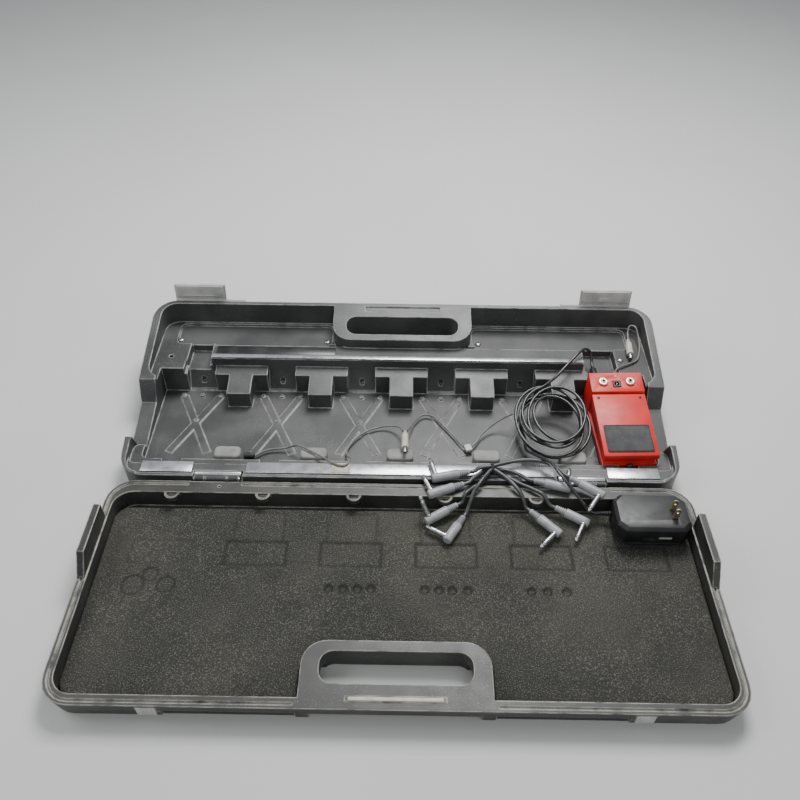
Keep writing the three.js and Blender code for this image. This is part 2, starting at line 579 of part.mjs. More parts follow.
// Each right-angle plug: where its cord enters, the far end of its barrel, and the way its tip points.
const PATCH_PLUGS = {
  patch_plug_1a: [[85.6, 12.4, 34.4], [44, 2, 34.4], [-0.243, 0.97, 0]],
  patch_plug_2a: [[77.6, -7.2, 34.4], [39, -23, 34.4], [-0.379, 0.925, 0]],
  patch_plug_3a: [[69.6, -31.2, 24.3], [36, -50, 19], [-0.4, 0.5, 0.77]],
  patch_plug_4a: [[76.7, -45, 18.5], [58, -76, 18.5], [-0.857, 0.515, 0]],
  patch_plug_1b: [[206.4, -1.4, 42.5], [240, -24, 39.5], [-0.56, -0.83, 0]],
  patch_plug_2b: [[163.4, -1.6, 36], [202, -12, 36], [0.26, 0.966, 0]],
  patch_plug_3b: [[187, -33, 24.3], [221, -50, 19], [-0.45, -0.89, 0]],
  patch_plug_4b: [[157, -37.5, 22.6], [186, -65, 18.7], [-0.68, -0.73, 0]],
};
const CORD_GAP = 0.5; // a moulded cord stops this far before its plug

const plugWay = ([cordEnd, elbow]) => vector(elbow).sub(vector(cordEnd)).normalize();

function makePatchPlug(name, plug) {
  const [a, b] = [vector(plug[0]), vector(plug[1])];
  const way = plugWay(plug);
  const tip = vector(plug[2]).normalize();
  const pivot = b.clone().addScaledVector(way, -0.8);
  const boot = bar(a.toArray(), at(a, way, 13), 3.4, 4.6, 14);
  const barrel = bar(at(a, way, 12), at(b, way, 4.6), 5.2, 5.2, 14);
  const shank = bar(pivot.toArray(), at(pivot, tip, 26), 3.1, 3.1, 12);
  const nose = bar(at(pivot, tip, 25), at(pivot, tip, 31), 3.1, 1.3, 12);
  add(name, Manifold.union([boot, barrel, shank, nose]), "plug");
}

// The straight first millimetres of a cord behind its plug, from the plug outwards.
const cordStub = (plug) => [CORD_GAP, 7].map((d) => at(vector(plug[0]), plugWay(plug), -d));

function makePatchLeads() {
  PATCH_ROUTES.forEach((route, k) => {
    const [from, to] = ["a", "b"].map((end) => cordStub(PATCH_PLUGS[`patch_plug_${k + 1}${end}`]));
    tube(`patch_lead_${k + 1}`, [...from, ...route, ...to.reverse()], PATCH_D, "lead");
  });
  for (const [name, plug] of Object.entries(PATCH_PLUGS)) makePatchPlug(name, plug);
}

// Draws both ends of a route back a little, so the lead stands clear of what it meets.
function insetEnds(route, gap) {
  const p = route.map((q) => new THREE.Vector3(...q));
  const pull = (from, to) => from.clone().addScaledVector(to.clone().sub(from).normalize(), gap);
  const n = p.length;
  return [pull(p[0], p[1]), ...p.slice(1, n - 1), pull(p[n - 1], p[n - 2])].map((q) => q.toArray());
}

function makeAdapterLead() {
  tube("adapter_lead_run", insetEnds([
    [234.4, -42, 26], [226, -39.5, 28], [218, -33, 35], [209, -24, 42.5], [200, -12, 47], [193, 0, 49], [188.5, 13, 48.9],
    [185.5, 26, 46.2], [184.6, 35, 41.5], [184.6, 39.6, 36.2],
  ], 0.5), MAINS_D, "black", 8);
  const { outer, inner, height, stretch } = COIL;
  const profile = [
    [inner + 3, -height / 2], [outer - 3, -height / 2], [outer, -height / 2 + 3], [outer, height / 2 - 3],
    [outer - 3, height / 2], [inner + 3, height / 2], [inner, height / 2 - 3], [inner, -height / 2 + 3],
    [inner + 3, -height / 2],
  ].map(([x, y]) => new THREE.Vector2(x, y));
  const ring = new THREE.LatheGeometry(profile, 32).scale(1, 1, stretch);
  ring.deleteAttribute("normal");
  ring.deleteAttribute("uv");
  const coil = addMesh("adapter_lead_coil", ring, "black");
  coil.rotation.x = deg(90 + COIL.tilt);
  coil.position.set(COIL.x, COIL.y, COIL.z);
  tube("adapter_lead_tail", insetEnds([
    [206, 157, 50.6], [212, 167, 54], [221, 178, 59.6], [232, 188, 63], [243, 194, 65.2], [254, 198, 61.8],
    [261, 199, 55], [262.6, 194, 51], [262.6, 188.6, 50],
  ], 0.3), MAINS_D, "black", 8);
  const plug = bar([262.6, 187.9, 50], [262.6, 168, 50], 4.4, 4.4, 16);
  const tip = bar([262.6, 169, 50], [262.8, 160, 50], 2.6, 2.6, 14);
  add("adapter_plug", plug.add(tip), "black");
}

function makeDcLeads() {
  tube("dc_lead_left", insetEnds([
    [-186.2, 50, 16], [-172, 60, 15.8], [-150, 63, 17], [-139, 62, 22], [-130, 58, 28], [-110, 46, 28.8], [-92, 33, 30],
    [-78, 24, 30.4], [-68, 24, 30.4], [-63, 34, 29.6], [-66, 46, 22], [-69, 60, 16.4], [-62, 78, 16],
    [-47, 95, 16], [-28, 104, 16], [-12, 104, 19], [-1, 97, 23.6], [3, 87.5, 26.6],
  ], 0.3), DC_D, "thin");
  tube("dc_lead_middle", insetEnds([
    [9, 87.5, 26.6], [13, 100, 23], [19, 115, 18], [31, 128, 16.5], [43, 126, 16], [56, 110, 16.6], [70, 90, 16.5],
    [80, 74, 16.5], [88, 68, 17], [97, 76, 17.5], [107, 92, 19], [120, 104, 22], [134, 110.6, 29], [147.2, 112, 37],
  ], 0.3), DC_D, "thin");
  tube("dc_lead_right", insetEnds([
    [288.3, 166, 50], [288.6, 174, 50.6], [295, 185, 54.6], [309, 193, 55], [324.5, 203, 54.4], [332.5, 224, 56], [334, 246, 62],
    [331, 260, 68], [325, 264, 66], [321.6, 257, 61], [320.2, 244, 57.4],
  ], 0.3), DC_D, "thin");
  const inline = (name, from, to, look) => {
    const start = new THREE.Vector3(...from);
    const end = new THREE.Vector3(...to);
    const way = end.clone().sub(start).normalize();
    const tip = bar(at(end, way, -2), at(end, way, 9), 2.75, 2.75, 14);
    add(name, bar(from, to, 4.4, 4.8, 16).add(tip), look);
  };
  inline("dc_plug_middle", [6, 87, 26.6], [6, 52, 32.2], "cream");
  inline("dc_plug_right", [320, 243.2, 57.2], [317, 212, 57.2], "cream");
  add("dc_plug_left", bar([-186.6, 50, 16], [-200, 50, 16], 4, 4, 16), "black");
}

makeBase();
makeTrim();
for (const [side, s] of [["left", -1], ["right", 1]]) makeLatch(side, s);
makeLid();
makeUnit();
makeAdapter();
makePatchLeads();
makeAdapterLead();
makeDcLeads();

// The row's origin is the middle of the open case, on the surface it lies on.
root.position.y = -ORIGIN_Y;

export default root;
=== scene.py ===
"""Looks of a moulded carrying pedalboard lying open: tray, lid, foam, red power pedal, adapter and leads."""
import json
import logging
import math
from dataclasses import dataclass, field
from enum import Enum
from typing import Sequence

import bpy
import numpy as np
from mathutils import Matrix, Vector

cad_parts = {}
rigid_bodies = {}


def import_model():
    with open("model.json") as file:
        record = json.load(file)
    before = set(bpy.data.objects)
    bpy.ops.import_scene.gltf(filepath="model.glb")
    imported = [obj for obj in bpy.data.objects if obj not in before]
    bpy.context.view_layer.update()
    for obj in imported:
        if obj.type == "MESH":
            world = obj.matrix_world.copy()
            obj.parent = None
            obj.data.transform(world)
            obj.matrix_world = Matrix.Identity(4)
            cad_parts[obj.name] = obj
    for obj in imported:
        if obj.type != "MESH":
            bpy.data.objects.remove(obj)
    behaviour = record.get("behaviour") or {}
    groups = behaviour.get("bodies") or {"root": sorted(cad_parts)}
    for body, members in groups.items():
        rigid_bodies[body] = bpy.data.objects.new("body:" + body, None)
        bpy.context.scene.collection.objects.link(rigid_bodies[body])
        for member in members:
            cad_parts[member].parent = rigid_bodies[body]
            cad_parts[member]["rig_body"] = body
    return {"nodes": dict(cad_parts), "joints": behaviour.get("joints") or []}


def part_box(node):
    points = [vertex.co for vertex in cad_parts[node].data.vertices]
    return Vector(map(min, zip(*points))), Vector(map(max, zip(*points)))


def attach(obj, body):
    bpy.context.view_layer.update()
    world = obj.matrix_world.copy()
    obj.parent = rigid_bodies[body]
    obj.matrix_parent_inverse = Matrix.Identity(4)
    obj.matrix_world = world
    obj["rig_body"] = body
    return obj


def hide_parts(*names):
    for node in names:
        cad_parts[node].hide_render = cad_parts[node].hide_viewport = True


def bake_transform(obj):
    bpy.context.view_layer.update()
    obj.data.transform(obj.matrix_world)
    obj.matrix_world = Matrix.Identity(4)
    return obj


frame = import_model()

LOG = logging.getLogger("pedalboard")
MM = 0.001
HINGE = next(j for j in frame["joints"] if j["name"] == "lid_hinge")
SHIFT_Y = HINGE["pos_m"][1] / MM  # the hinge line's place in the row's frame, in millimetres
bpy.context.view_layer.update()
NODE_DOUBLES = 2e-6  # vertices of a CAD node this close, in metres, are one
DOUBLES = 1e-6  # the same for a new mesh
FLAT_DEG = 0.6  # triangles of a CAD node this close to one plane become one face
SPAN_SAMPLES = 24  # fine samples from one point of a route to the next
SOFT_DEG = 40.0  # edges of a small piece up to this sharp are shaded smooth

Point = Sequence[float]
Rgb = tuple[float, float, float]
Socket = bpy.types.NodeSocket


class Body(str, Enum):
    """The moving bodies that pieces ride on."""

    BASE = "base"
    LID = "lid"
    TREADLE = "treadle"
    ADAPTER = "adapter"
    THUMBSCREW = "thumbscrew"
    LATCH_LEFT = "latch_left"
    LATCH_RIGHT = "latch_right"


def place(point: Point) -> Vector:
    """Turns millimetres from the hinge line into a point of the row's frame, in metres."""
    return Vector((point[0], point[1] + SHIFT_Y, point[2])) * MM


# ---- Modelling helpers ----------------------------------------------------------------------


def choose(piece: bpy.types.Object) -> None:
    """Makes one object the only selected and the active one."""
    bpy.ops.object.select_all(action="DESELECT")
    piece.select_set(True)
    bpy.context.view_layer.objects.active = piece


def named(name: str) -> bpy.types.Object:
    """Names the object that an operator has just made, and returns it."""
    piece = bpy.context.active_object
    piece.name = name
    piece.data.name = name
    return piece


def settle(piece: bpy.types.Object, place_at: Matrix | None = None) -> bpy.types.Object:
    """Moves an object's place into its mesh, so that it sits at the origin.

    Args:
        piece: The object to settle.
        place_at: A further move, applied after the object's own place.

    Returns:
        The same object, unturned and unscaled.
    """
    bpy.context.view_layer.update()
    piece.data.transform((place_at or Matrix.Identity(4)) @ piece.matrix_world)
    piece.matrix_world = Matrix.Identity(4)
    return piece


def apply_modifiers(piece: bpy.types.Object) -> None:
    """Applies every modifier of a piece, in order."""
    choose(piece)
    for modifier in list(piece.modifiers):
        bpy.ops.object.modifier_apply(modifier=modifier.name)


def bevel(
    piece: bpy.types.Object, width_mm: float, segments: int = 3, angle: float = 35.0, clamp: bool = True
) -> None:
    """Rounds a piece's sharp edges and applies the result.

    Args:
        piece: The piece to round.
        width_mm: Width of the rounding.
        segments: Faces across it.
        angle: Edges sharper than this, in degrees, are rounded.
        clamp: Whether the width gives way where edges are close.
    """
    modifier = piece.modifiers.new("edges", "BEVEL")
    modifier.width = width_mm * MM
    modifier.segments = segments
    modifier.limit_method = "ANGLE"
    modifier.angle_limit = math.radians(angle)
    modifier.use_clamp_overlap = clamp
    apply_modifiers(piece)


def smooth(piece: bpy.types.Object, angle: float = 32.0) -> None:
    """Shades a piece smooth, apart from edges sharper than the angle in degrees."""
    choose(piece)
    bpy.ops.object.shade_smooth_by_angle(angle=math.radians(angle))


def linked(name: str, data: bpy.types.ID) -> bpy.types.Object:
    """Makes an object of some data, links it to the scene and chooses it."""
    made = bpy.data.objects.new(name, data)
    bpy.context.scene.collection.objects.link(made)
    choose(made)
    return made


def healed(piece: bpy.types.Object) -> bpy.types.Object:
    """Merges the doubles of a chosen closed mesh and turns its faces outwards."""
    bpy.ops.object.mode_set(mode="EDIT")
    bpy.ops.mesh.select_all(action="SELECT")
    bpy.ops.mesh.remove_doubles(threshold=DOUBLES)
    bpy.ops.mesh.normals_make_consistent(inside=False)
    bpy.ops.object.mode_set(mode="OBJECT")
    return piece


def merged_copy(node: str, name: str) -> bpy.types.Object:
    """Copies a CAD node as a new piece, with its vertices merged and its flat faces joined.

    Args:
        node: The node's name.
        name: The new piece's name.

    Returns:
        The new piece, on no body yet.
    """
    mesh = frame["nodes"][node].data.copy()
    mesh.materials.clear()
    piece = linked(name, mesh)
    if mesh.has_custom_normals:
        bpy.ops.mesh.customdata_custom_splitnormals_clear()
    bpy.ops.object.mode_set(mode="EDIT")
    bpy.ops.mesh.select_all(action="SELECT")
    bpy.ops.mesh.remove_doubles(threshold=NODE_DOUBLES)
    bpy.ops.mesh.dissolve_limited(angle_limit=math.radians(FLAT_DEG))
    bpy.ops.object.mode_set(mode="OBJECT")
    return piece


def cube(name: str, low: Point, high: Point) -> bpy.types.Object:
    """Adds a box between two corners, in millimetres of its own."""
    a, b = Vector(low) * MM, Vector(high) * MM
    bpy.ops.object.select_all(action="DESELECT")
    bpy.ops.mesh.primitive_cube_add(size=1, location=(a + b) / 2, scale=b - a)
    return settle(named(name))


def rounded_box(name: str, low: Point, high: Point, width_mm: float, segments: int = 3) -> bpy.types.Object:
    """Adds a box between two corners, in millimetres of its own, with rounded edges."""
    box = cube(name, low, high)
    bevel(box, width_mm, segments)
    return box


def turned(
    name: str, profile: Sequence[Point], sides: int, smooth_deg: float | None = SOFT_DEG
) -> bpy.types.Object:
    """Spins a closed (radius, height) outline in millimetres round the Z axis.

    Args:
        name: The piece's name.
        profile: The outline's points, from the axis outwards and back.
        sides: Faces round the piece.
        smooth_deg: Edges up to this sharp are shaded smooth. None leaves the shading for later.

    Returns:
        The turned piece, standing on the origin.
    """
    mesh = bpy.data.meshes.new(name)
    points = [(r * MM, 0.0, z * MM) for r, z in profile]
    mesh.from_pydata(points, [(i, (i + 1) % len(points)) for i in range(len(points))], [])
    piece = linked(name, mesh)
    bpy.ops.object.mode_set(mode="EDIT")
    bpy.ops.mesh.select_all(action="SELECT")
    bpy.ops.mesh.spin(steps=sides, angle=math.tau, center=(0, 0, 0), axis=(0, 0, 1))
    bpy.ops.object.mode_set(mode="OBJECT")
    healed(piece)
    if smooth_deg is not None:
        smooth(piece, smooth_deg)
    return piece


def joined(name: str, pieces: Sequence[bpy.types.Object]) -> bpy.types.Object:
    """Joins several meshes into one piece."""
    bpy.ops.object.select_all(action="DESELECT")
    for piece in pieces:
        piece.select_set(True)
    bpy.context.view_layer.objects.active = pieces[0]
    bpy.ops.object.join()
    return named(name)


def aim(origin: Vector, forward: Vector, up: Vector) -> Matrix:
    """A matrix that stands local +Z along `up` and local +X as near `forward` as it can, at a point."""
    z = up.normalized()
    x = (forward - z * forward.dot(z)).normalized()
    matrix = Matrix((x, z.cross(x), z)).transposed().to_4x4()
    matrix.translation = origin
    return matrix


def between(a: Vector, b: Vector, start: float, end: float, t: float) -> Vector:
    """Mixes two points by where t lies from start to end."""
    return a * ((end - t) / (end - start)) + b * ((t - start) / (end - start))


def smooth_line(points: Sequence[Vector], step_mm: float) -> list[Vector]:
    """Samples a centripetal Catmull-Rom curve through the points.

    Args:
        points: The route, in metres.
        step_mm: Distance between samples.

    Returns:
        Evenly spaced points along the curve, ends included.
    """
    ends = [points[0] * 2 - points[1], *points, points[-1] * 2 - points[-2]]
    fine: list[Vector] = []
    for p0, p1, p2, p3 in zip(ends, ends[1:], ends[2:], ends[3:]):
        knots = [0.0]
        for a, b in ((p0, p1), (p1, p2), (p2, p3)):
            knots.append(knots[-1] + math.sqrt((b - a).length) + 1e-9)
        t0, t1, t2, t3 = knots
        for k in range(SPAN_SAMPLES):
            t = t1 + (t2 - t1) * k / SPAN_SAMPLES
            a1, a2, a3 = between(p0, p1, t0, t1, t), between(p1, p2, t1, t2, t), between(p2, p3, t2, t3, t)
            b1, b2 = between(a1, a2, t0, t2, t), between(a2, a3, t1, t3, t)
            fine.append(between(b1, b2, t1, t2, t))
    fine.append(points[-1].copy())
    lengths = np.concatenate([[0.0], np.cumsum([(b - a).length for a, b in zip(fine, fine[1:])])])
    count = max(4, int(lengths[-1] / (step_mm * MM)))
    at = np.linspace(0.0, lengths[-1], count + 1)
    co = np.array([tuple(p) for p in fine])
    return [Vector(row) for row in np.stack([np.interp(at, lengths, co[:, k]) for k in range(3)], axis=1)]


def tube(name: str, line: Sequence[Vector], diameter_mm: float, resolution: int = 4) -> bpy.types.Object:
    """Makes a round cord along a line as one closed mesh.

    Args:
        name: The piece's name.
        line: Its centreline, in metres.
        diameter_mm: Its diameter.
        resolution: Roundness of its section.

    Returns:
        The tube's mesh object.
    """
    curve = bpy.data.curves.new(name, "CURVE")
    curve.dimensions = "3D"
    spline = curve.splines.new("POLY")
    spline.points.add(len(line) - 1)
    for point, co in zip(spline.points, line):
        point.co = (*co, 1.0)
    curve.bevel_depth = diameter_mm * MM / 2
    curve.bevel_resolution = resolution
    curve.use_fill_caps = True
    linked(name, curve)
    bpy.ops.object.convert(target="MESH")
    piece = healed(bpy.context.active_object)
    smooth(piece, 50)
    return piece


# ---- Finishes -------------------------------------------------------------------------------


class Bench:
    """A material's node tree, with short ways to add the nodes that the finishes share."""

    def __init__(self, tree: bpy.types.NodeTree) -> None:
        """Keeps the tree, and gives it the object coordinates that its textures read."""
        self.tree = tree
        self.place_on = self.add("TexCoord").outputs["Object"]

    def add(self, kind: str) -> bpy.types.Node:
        """Adds a shader node of one kind."""
        return self.tree.nodes.new(f"ShaderNode{kind}")

    def feed(self, socket: Socket, value: Socket | Rgb | float) -> None:
        """Links a value to a socket, or sets it there where it is a plain colour or number."""
        if isinstance(value, bpy.types.NodeSocket):
            self.tree.links.new(value, socket)
        else:
            socket.default_value = (*value, 1.0) if isinstance(value, tuple) else value

    def noise(self, size_mm: float, detail: float, where: Socket | None = None) -> Socket:
        """Adds a noise of a given size and detail, and returns its value."""
        noise = self.add("TexNoise")
        noise.inputs["Scale"].default_value = 1.0 / (size_mm * MM)
        noise.inputs["Detail"].default_value = detail
        self.feed(noise.inputs["Vector"], where or self.place_on)
        return noise.outputs["Fac"]

    def ramp(self, value: Socket, low: float, high: float) -> Socket:
        """Maps a value between two limits to 0 and 1, smoothly."""
        ramp = self.add("MapRange")
        ramp.interpolation_type = "SMOOTHSTEP"
        ramp.inputs["From Min"].default_value = low
        ramp.inputs["From Max"].default_value = high
        self.feed(ramp.inputs["Value"], value)
        return ramp.outputs["Result"]

    def mix(self, factor: Socket, a: Socket | Rgb, b: Socket | Rgb) -> Socket:
        """Mixes two colours, each a socket or a plain colour, by a factor."""
        mix = self.add("Mix")
        mix.data_type = "RGBA"
        for socket, value in ((mix.inputs["Factor"], factor), (mix.inputs[6], a), (mix.inputs[7], b)):
            self.feed(socket, value)
        return mix.outputs[2]

    def reckon(self, kind: str, a: Socket | float, b: Socket | float) -> Socket:
        """Does arithmetic of one kind on two values, each a socket or a number."""
        node = self.add("Math")
        node.operation = kind
        for socket, value in zip(node.inputs, (a, b)):
            self.feed(socket, value)
        return node.outputs[0]

    def times(self, a: Socket, b: Socket, share: float) -> Socket:
        """Multiplies two masks and a share."""
        return self.reckon("MULTIPLY", self.reckon("MULTIPLY", a, b), share)

    def mapped(self, scale: Point, angle: float = 0.0) -> Socket:
        """Stretches the object coordinates, and turns them about Z by an angle in radians."""
        mapping = self.add("Mapping")
        mapping.inputs["Rotation"].default_value = (0.0, 0.0, angle)
        mapping.inputs["Scale"].default_value = scale
        self.feed(mapping.inputs["Vector"], self.place_on)
        return mapping.outputs["Vector"]


@dataclass(frozen=True)
class Finish:
    """A surface finish: two mixed shades, edges lightened as rubbed wear and as a painted highlight, dust,
    grain and gloss.

    Colours are linear RGB. Lengths are in millimetres.
    """

    name: str
    color: Rgb
    shade: Rgb
    rough: float = 0.5
    metallic: float = 0.0
    patch_mm: float = 60.0
    grain_mm: float = 0.6
    grain: float = 0.15
    edge_mm: float = 0.0
    edge_wear_highlight: Rgb | None = None
    edge_wear_highlight_share: float = 0.5
    speck: Rgb | None = None
    speck_mm: float = 2.0
    speck_share: float = 0.3
    coat: float = 0.0
    sheen: float = 0.0
    scratch: float = 0.0
    brushed: bool = False
    speck_even: bool = False
    shaded_marks: str = ""
    coat_rough: float = 0.25
    sheen_rough: float = 0.6
    rough_spread: float = 0.12
    scuff_turns: tuple[float, float] = (0.5, 2.2)

    def material(self) -> bpy.types.Material:
        """Builds the finish once as a node material on Object coordinates, and returns it."""
        known = bpy.data.materials.get(self.name)
        if known:
            return known
        material = bpy.data.materials.new(self.name)
        material.use_nodes = True
        shader = material.node_tree.nodes["Principled BSDF"]
        for socket, value in (
            ("Metallic", self.metallic), ("Coat Weight", self.coat), ("Coat Roughness", self.coat_rough),
            ("Sheen Weight", self.sheen), ("Sheen Roughness", self.sheen_rough),
        ):
            shader.inputs[socket].default_value = value
        bench = Bench(material.node_tree)
        color = self._mixed_shades(bench)
        if self.speck:
            color = self._specks(bench, color)
        if self.scratch:
            color = self._scratches(bench, color)
        if self.shaded_marks:
            color = self._painted_crease_shade(bench, color)
        normal = None
        if self.edge_mm:
            rounded = bench.add("Bevel")
            rounded.samples = 6
            rounded.inputs["Radius"].default_value = self.edge_mm * MM
            normal = rounded.outputs["Normal"]
            # lighter edges: rubbed wear, and a painted edge highlight
            if self.edge_wear_highlight:
                color = self._edges_wear_and_highlight(bench, normal, color)
        bench.feed(shader.inputs["Base Color"], color)
        self._roughness(bench, shader)
        self._grain(bench, normal, shader)
        return material

    def _mixed_shades(self, bench: Bench) -> Socket:
        """Mixes the two shades in soft patches, and returns the colour."""
        return bench.mix(bench.ramp(bench.noise(self.patch_mm, 6.0), 0.38, 0.66), self.color, self.shade)

    def _specks(self, bench: Bench, color: Socket) -> Socket:
        """Strews dust or fibre specks over a colour, in wide patches or evenly."""
        fine, wide = bench.noise(self.speck_mm, 2.0), bench.noise(self.speck_mm * 30, 4.0)
        start, low, high = (0.50, -0.1, 0.55) if self.speck_even else (0.60, 0.35, 0.65)
        specks, patches = bench.ramp(fine, start, 0.70), bench.ramp(wide, low, high)
        return bench.mix(bench.times(specks, patches, self.speck_share), color, self.speck)

    def _painted_crease_shade(self, bench: Bench, color: Socket) -> Socket:
        """Paints shade into a colour where the mesh's own attribute says that it is creased."""
        attribute = bench.add("Attribute")
        attribute.attribute_name = self.shaded_marks
        # painted shade in the creases: the colour at about a fifth of its brightness
        return bench.mix(attribute.outputs["Fac"], color, tuple(c * 0.22 for c in self.color))

    def _scratches(self, bench: Bench, color: Socket) -> Socket:
        """Draws thin long scuffs in two directions over a colour."""
        light = tuple(min(1.0, c * 1.9 + 0.05) for c in self.color)
        for angle in self.scuff_turns:
            drawn_out = bench.mapped((1.0, 0.04, 1.0), angle)
            lines = bench.ramp(bench.noise(2.2, 1.0, drawn_out), 0.69, 0.75)
            where = bench.ramp(bench.noise(45.0, 2.0), 0.5, 0.7)
            color = bench.mix(bench.times(lines, where, self.scratch), color, light)
        return color

    def _edges_wear_and_highlight(self, bench: Bench, rounded: Socket, color: Socket) -> Socket:
        """Lightens a colour along edges, as rubbed wear and as a painted highlight: where the rounded normal
        leaves the face's.
        """
        geometry, dot = bench.add("NewGeometry"), bench.add("VectorMath")
        dot.operation = "DOT_PRODUCT"
        bench.feed(dot.inputs[0], rounded)
        bench.feed(dot.inputs[1], geometry.outputs["Normal"])
        edge = bench.ramp(bench.reckon("SUBTRACT", 1.0, dot.outputs["Value"]), 0.004, 0.07)
        uneven = bench.ramp(bench.noise(16.0, 5.0), 0.22, 0.60)
        return bench.mix(bench.times(edge, uneven, self.edge_wear_highlight_share), color, self.edge_wear_highlight)

    def _roughness(self, bench: Bench, shader: bpy.types.Node) -> None:
        """Varies the roughness a little over the surface."""
        spread = bench.add("MapRange")
        spread.inputs["To Min"].default_value = max(0.05, self.rough - self.rough_spread)
        spread.inputs["To Max"].default_value = min(1.0, self.rough + self.rough_spread)
        bench.feed(spread.inputs["Value"], bench.noise(self.patch_mm / 3, 5.0))
        bench.feed(shader.inputs["Roughness"], spread.outputs["Result"])

    def _grain(self, bench: Bench, normal: Socket | None, shader: bpy.types.Node) -> None:
        """Gives the surface its fine grain as bump, on top of any rounded edges."""
        where = bench.mapped((0.02, 1.0, 1.0)) if self.brushed else None
        bump = bench.add("Bump")
        bump.inputs["Strength"].default_value = self.grain
        bump.inputs["Distance"].default_value = self.grain_mm * MM * 0.5
        bench.feed(bump.inputs["Height"], bench.noise(self.grain_mm, 2.0, where))
        if normal:
            bench.feed(bump.inputs["Normal"], normal)
        bench.feed(shader.inputs["Normal"], bump.outputs["Normal"])


# The shells' bright edge colour is partly rubbed wear and partly a painted highlight along every edge.
TRAY = Finish(
    "tray_plastic", (0.048, 0.049, 0.049), (0.084, 0.085, 0.083), 0.42, patch_mm=70, edge_mm=2.2,
    edge_wear_highlight=(0.62, 0.62, 0.59), edge_wear_highlight_share=0.9, speck=(0.35, 0.35, 0.32), speck_mm=1.6, speck_share=0.35,
    scratch=0.5, grain_mm=0.5, grain=0.2,
)
LID = Finish(
    "lid_plastic", (0.032, 0.033, 0.030), (0.058, 0.058, 0.051), 0.44, patch_mm=60, edge_mm=2.2,
    edge_wear_highlight=(0.60, 0.58, 0.50), edge_wear_highlight_share=0.9, speck=(0.35, 0.34, 0.30), speck_mm=1.6, speck_share=0.4,
    scratch=0.6, grain_mm=0.5, grain=0.2,
)
# FOAM: the creases round each pressed mark get painted shade.
FOAM = Finish(
    "dusty_foam", (0.020, 0.020, 0.017), (0.040, 0.039, 0.031), 0.92, patch_mm=150, grain_mm=1.7,
    grain=1.0, speck=(0.19, 0.185, 0.15), speck_mm=1.25, speck_share=0.6, speck_even=True,
    shaded_marks="pressed",
)
SILVER = Finish(
    "bright_trim", (0.72, 0.73, 0.75), (0.52, 0.53, 0.55), 0.3, 0.85, patch_mm=25, grain_mm=0.5,
    grain=0.12, brushed=True, edge_mm=0.4,
)
PLATE = Finish(
    "dark_plate", (0.012, 0.012, 0.013), (0.03, 0.03, 0.03), 0.35, patch_mm=30, coat=0.3, grain_mm=0.8,
    grain=0.06, edge_mm=0.3,
)
LATCH = Finish(
    "latch_plastic", (0.56, 0.56, 0.53), (0.44, 0.44, 0.41), 0.5, patch_mm=20, edge_mm=0.7,
    edge_wear_highlight=(0.6, 0.6, 0.57), edge_wear_highlight_share=0.5, speck=(0.12, 0.12, 0.11), speck_share=0.3, scratch=0.4,
)
STOP = Finish(
    "stop_rubber", (0.20, 0.20, 0.19), (0.27, 0.27, 0.255), 0.8, patch_mm=14, grain_mm=0.8, grain=0.25,
    speck=(0.45, 0.45, 0.42), speck_mm=1.2, speck_share=0.4,
)
RED = Finish(
    "red_paint", (0.70, 0.022, 0.016), (0.58, 0.016, 0.012), 0.46, patch_mm=25, grain_mm=0.9, grain=0.12,
    coat=0.08, edge_mm=0.6, edge_wear_highlight=(0.85, 0.25, 0.18), edge_wear_highlight_share=0.45,
)
RUBBER = Finish(
    "pad_rubber", (0.045, 0.045, 0.046), (0.065, 0.065, 0.065), 0.75, patch_mm=12, grain_mm=1.0,
    grain=0.35, edge_mm=0.3, speck=(0.2, 0.2, 0.2), speck_mm=0.9, speck_share=0.3,
)
BLACK = Finish(
    "black_plastic", (0.014, 0.014, 0.015), (0.028, 0.028, 0.029), 0.42, patch_mm=20, grain_mm=0.5,
    grain=0.18, edge_mm=0.6, edge_wear_highlight=(0.12, 0.12, 0.12), edge_wear_highlight_share=0.5,
)
BRASS = Finish(
    "brass_blade", (0.82, 0.72, 0.44), (0.66, 0.56, 0.32), 0.34, 1.0, patch_mm=8, grain_mm=0.5,
    grain=0.12,
)
NICKEL = Finish(
    "pale_nickel", (0.76, 0.72, 0.60), (0.60, 0.57, 0.48), 0.28, 0.9, patch_mm=6, grain_mm=0.4,
    grain=0.1,
)
STEEL = Finish(
    "plain_steel", (0.62, 0.62, 0.63), (0.40, 0.40, 0.41), 0.3, 1.0, patch_mm=5, grain_mm=0.4,
    grain=0.12,
)
CREAM = Finish(
    "cream_plastic", (0.55, 0.53, 0.42), (0.46, 0.44, 0.34), 0.5, patch_mm=10, grain_mm=0.6, grain=0.12,
    edge_mm=0.4,
)
SHEATH = Finish(
    "patch_sheath", (0.040, 0.042, 0.044), (0.065, 0.067, 0.070), 0.36, patch_mm=14, grain_mm=0.6,
    grain=0.12, coat=0.15,
)
PLUG = Finish(
    "plug_plastic", (0.34, 0.35, 0.36), (0.26, 0.265, 0.27), 0.36, patch_mm=10, grain_mm=0.6, grain=0.14,
    edge_mm=0.4, speck=(0.5, 0.5, 0.5), speck_mm=1.0, speck_share=0.25,
)
MAINS = Finish(
    "mains_sheath", (0.016, 0.016, 0.017), (0.030, 0.030, 0.031), 0.30, patch_mm=12, grain_mm=0.6,
    grain=0.1, coat=0.3,
)
THIN = Finish(
    "thin_sheath", (0.13, 0.13, 0.125), (0.19, 0.19, 0.18), 0.4, patch_mm=12, grain_mm=0.5, grain=0.1,
)
TAPE = Finish(
    "old_tape", (0.50, 0.47, 0.36), (0.34, 0.32, 0.24), 0.55, patch_mm=6, grain_mm=1.2, grain=0.5,
)
LENS = Finish(
    "lens_pale", (0.85, 0.62, 0.50), (0.75, 0.50, 0.40), 0.12, patch_mm=2, grain_mm=0.5, grain=0.02,
    coat=1.0,
)
FLOOR = Finish(
    "pale_floor", (0.62, 0.62, 0.61), (0.60, 0.60, 0.59), 0.8, patch_mm=400, grain_mm=3, grain=0.02,
)


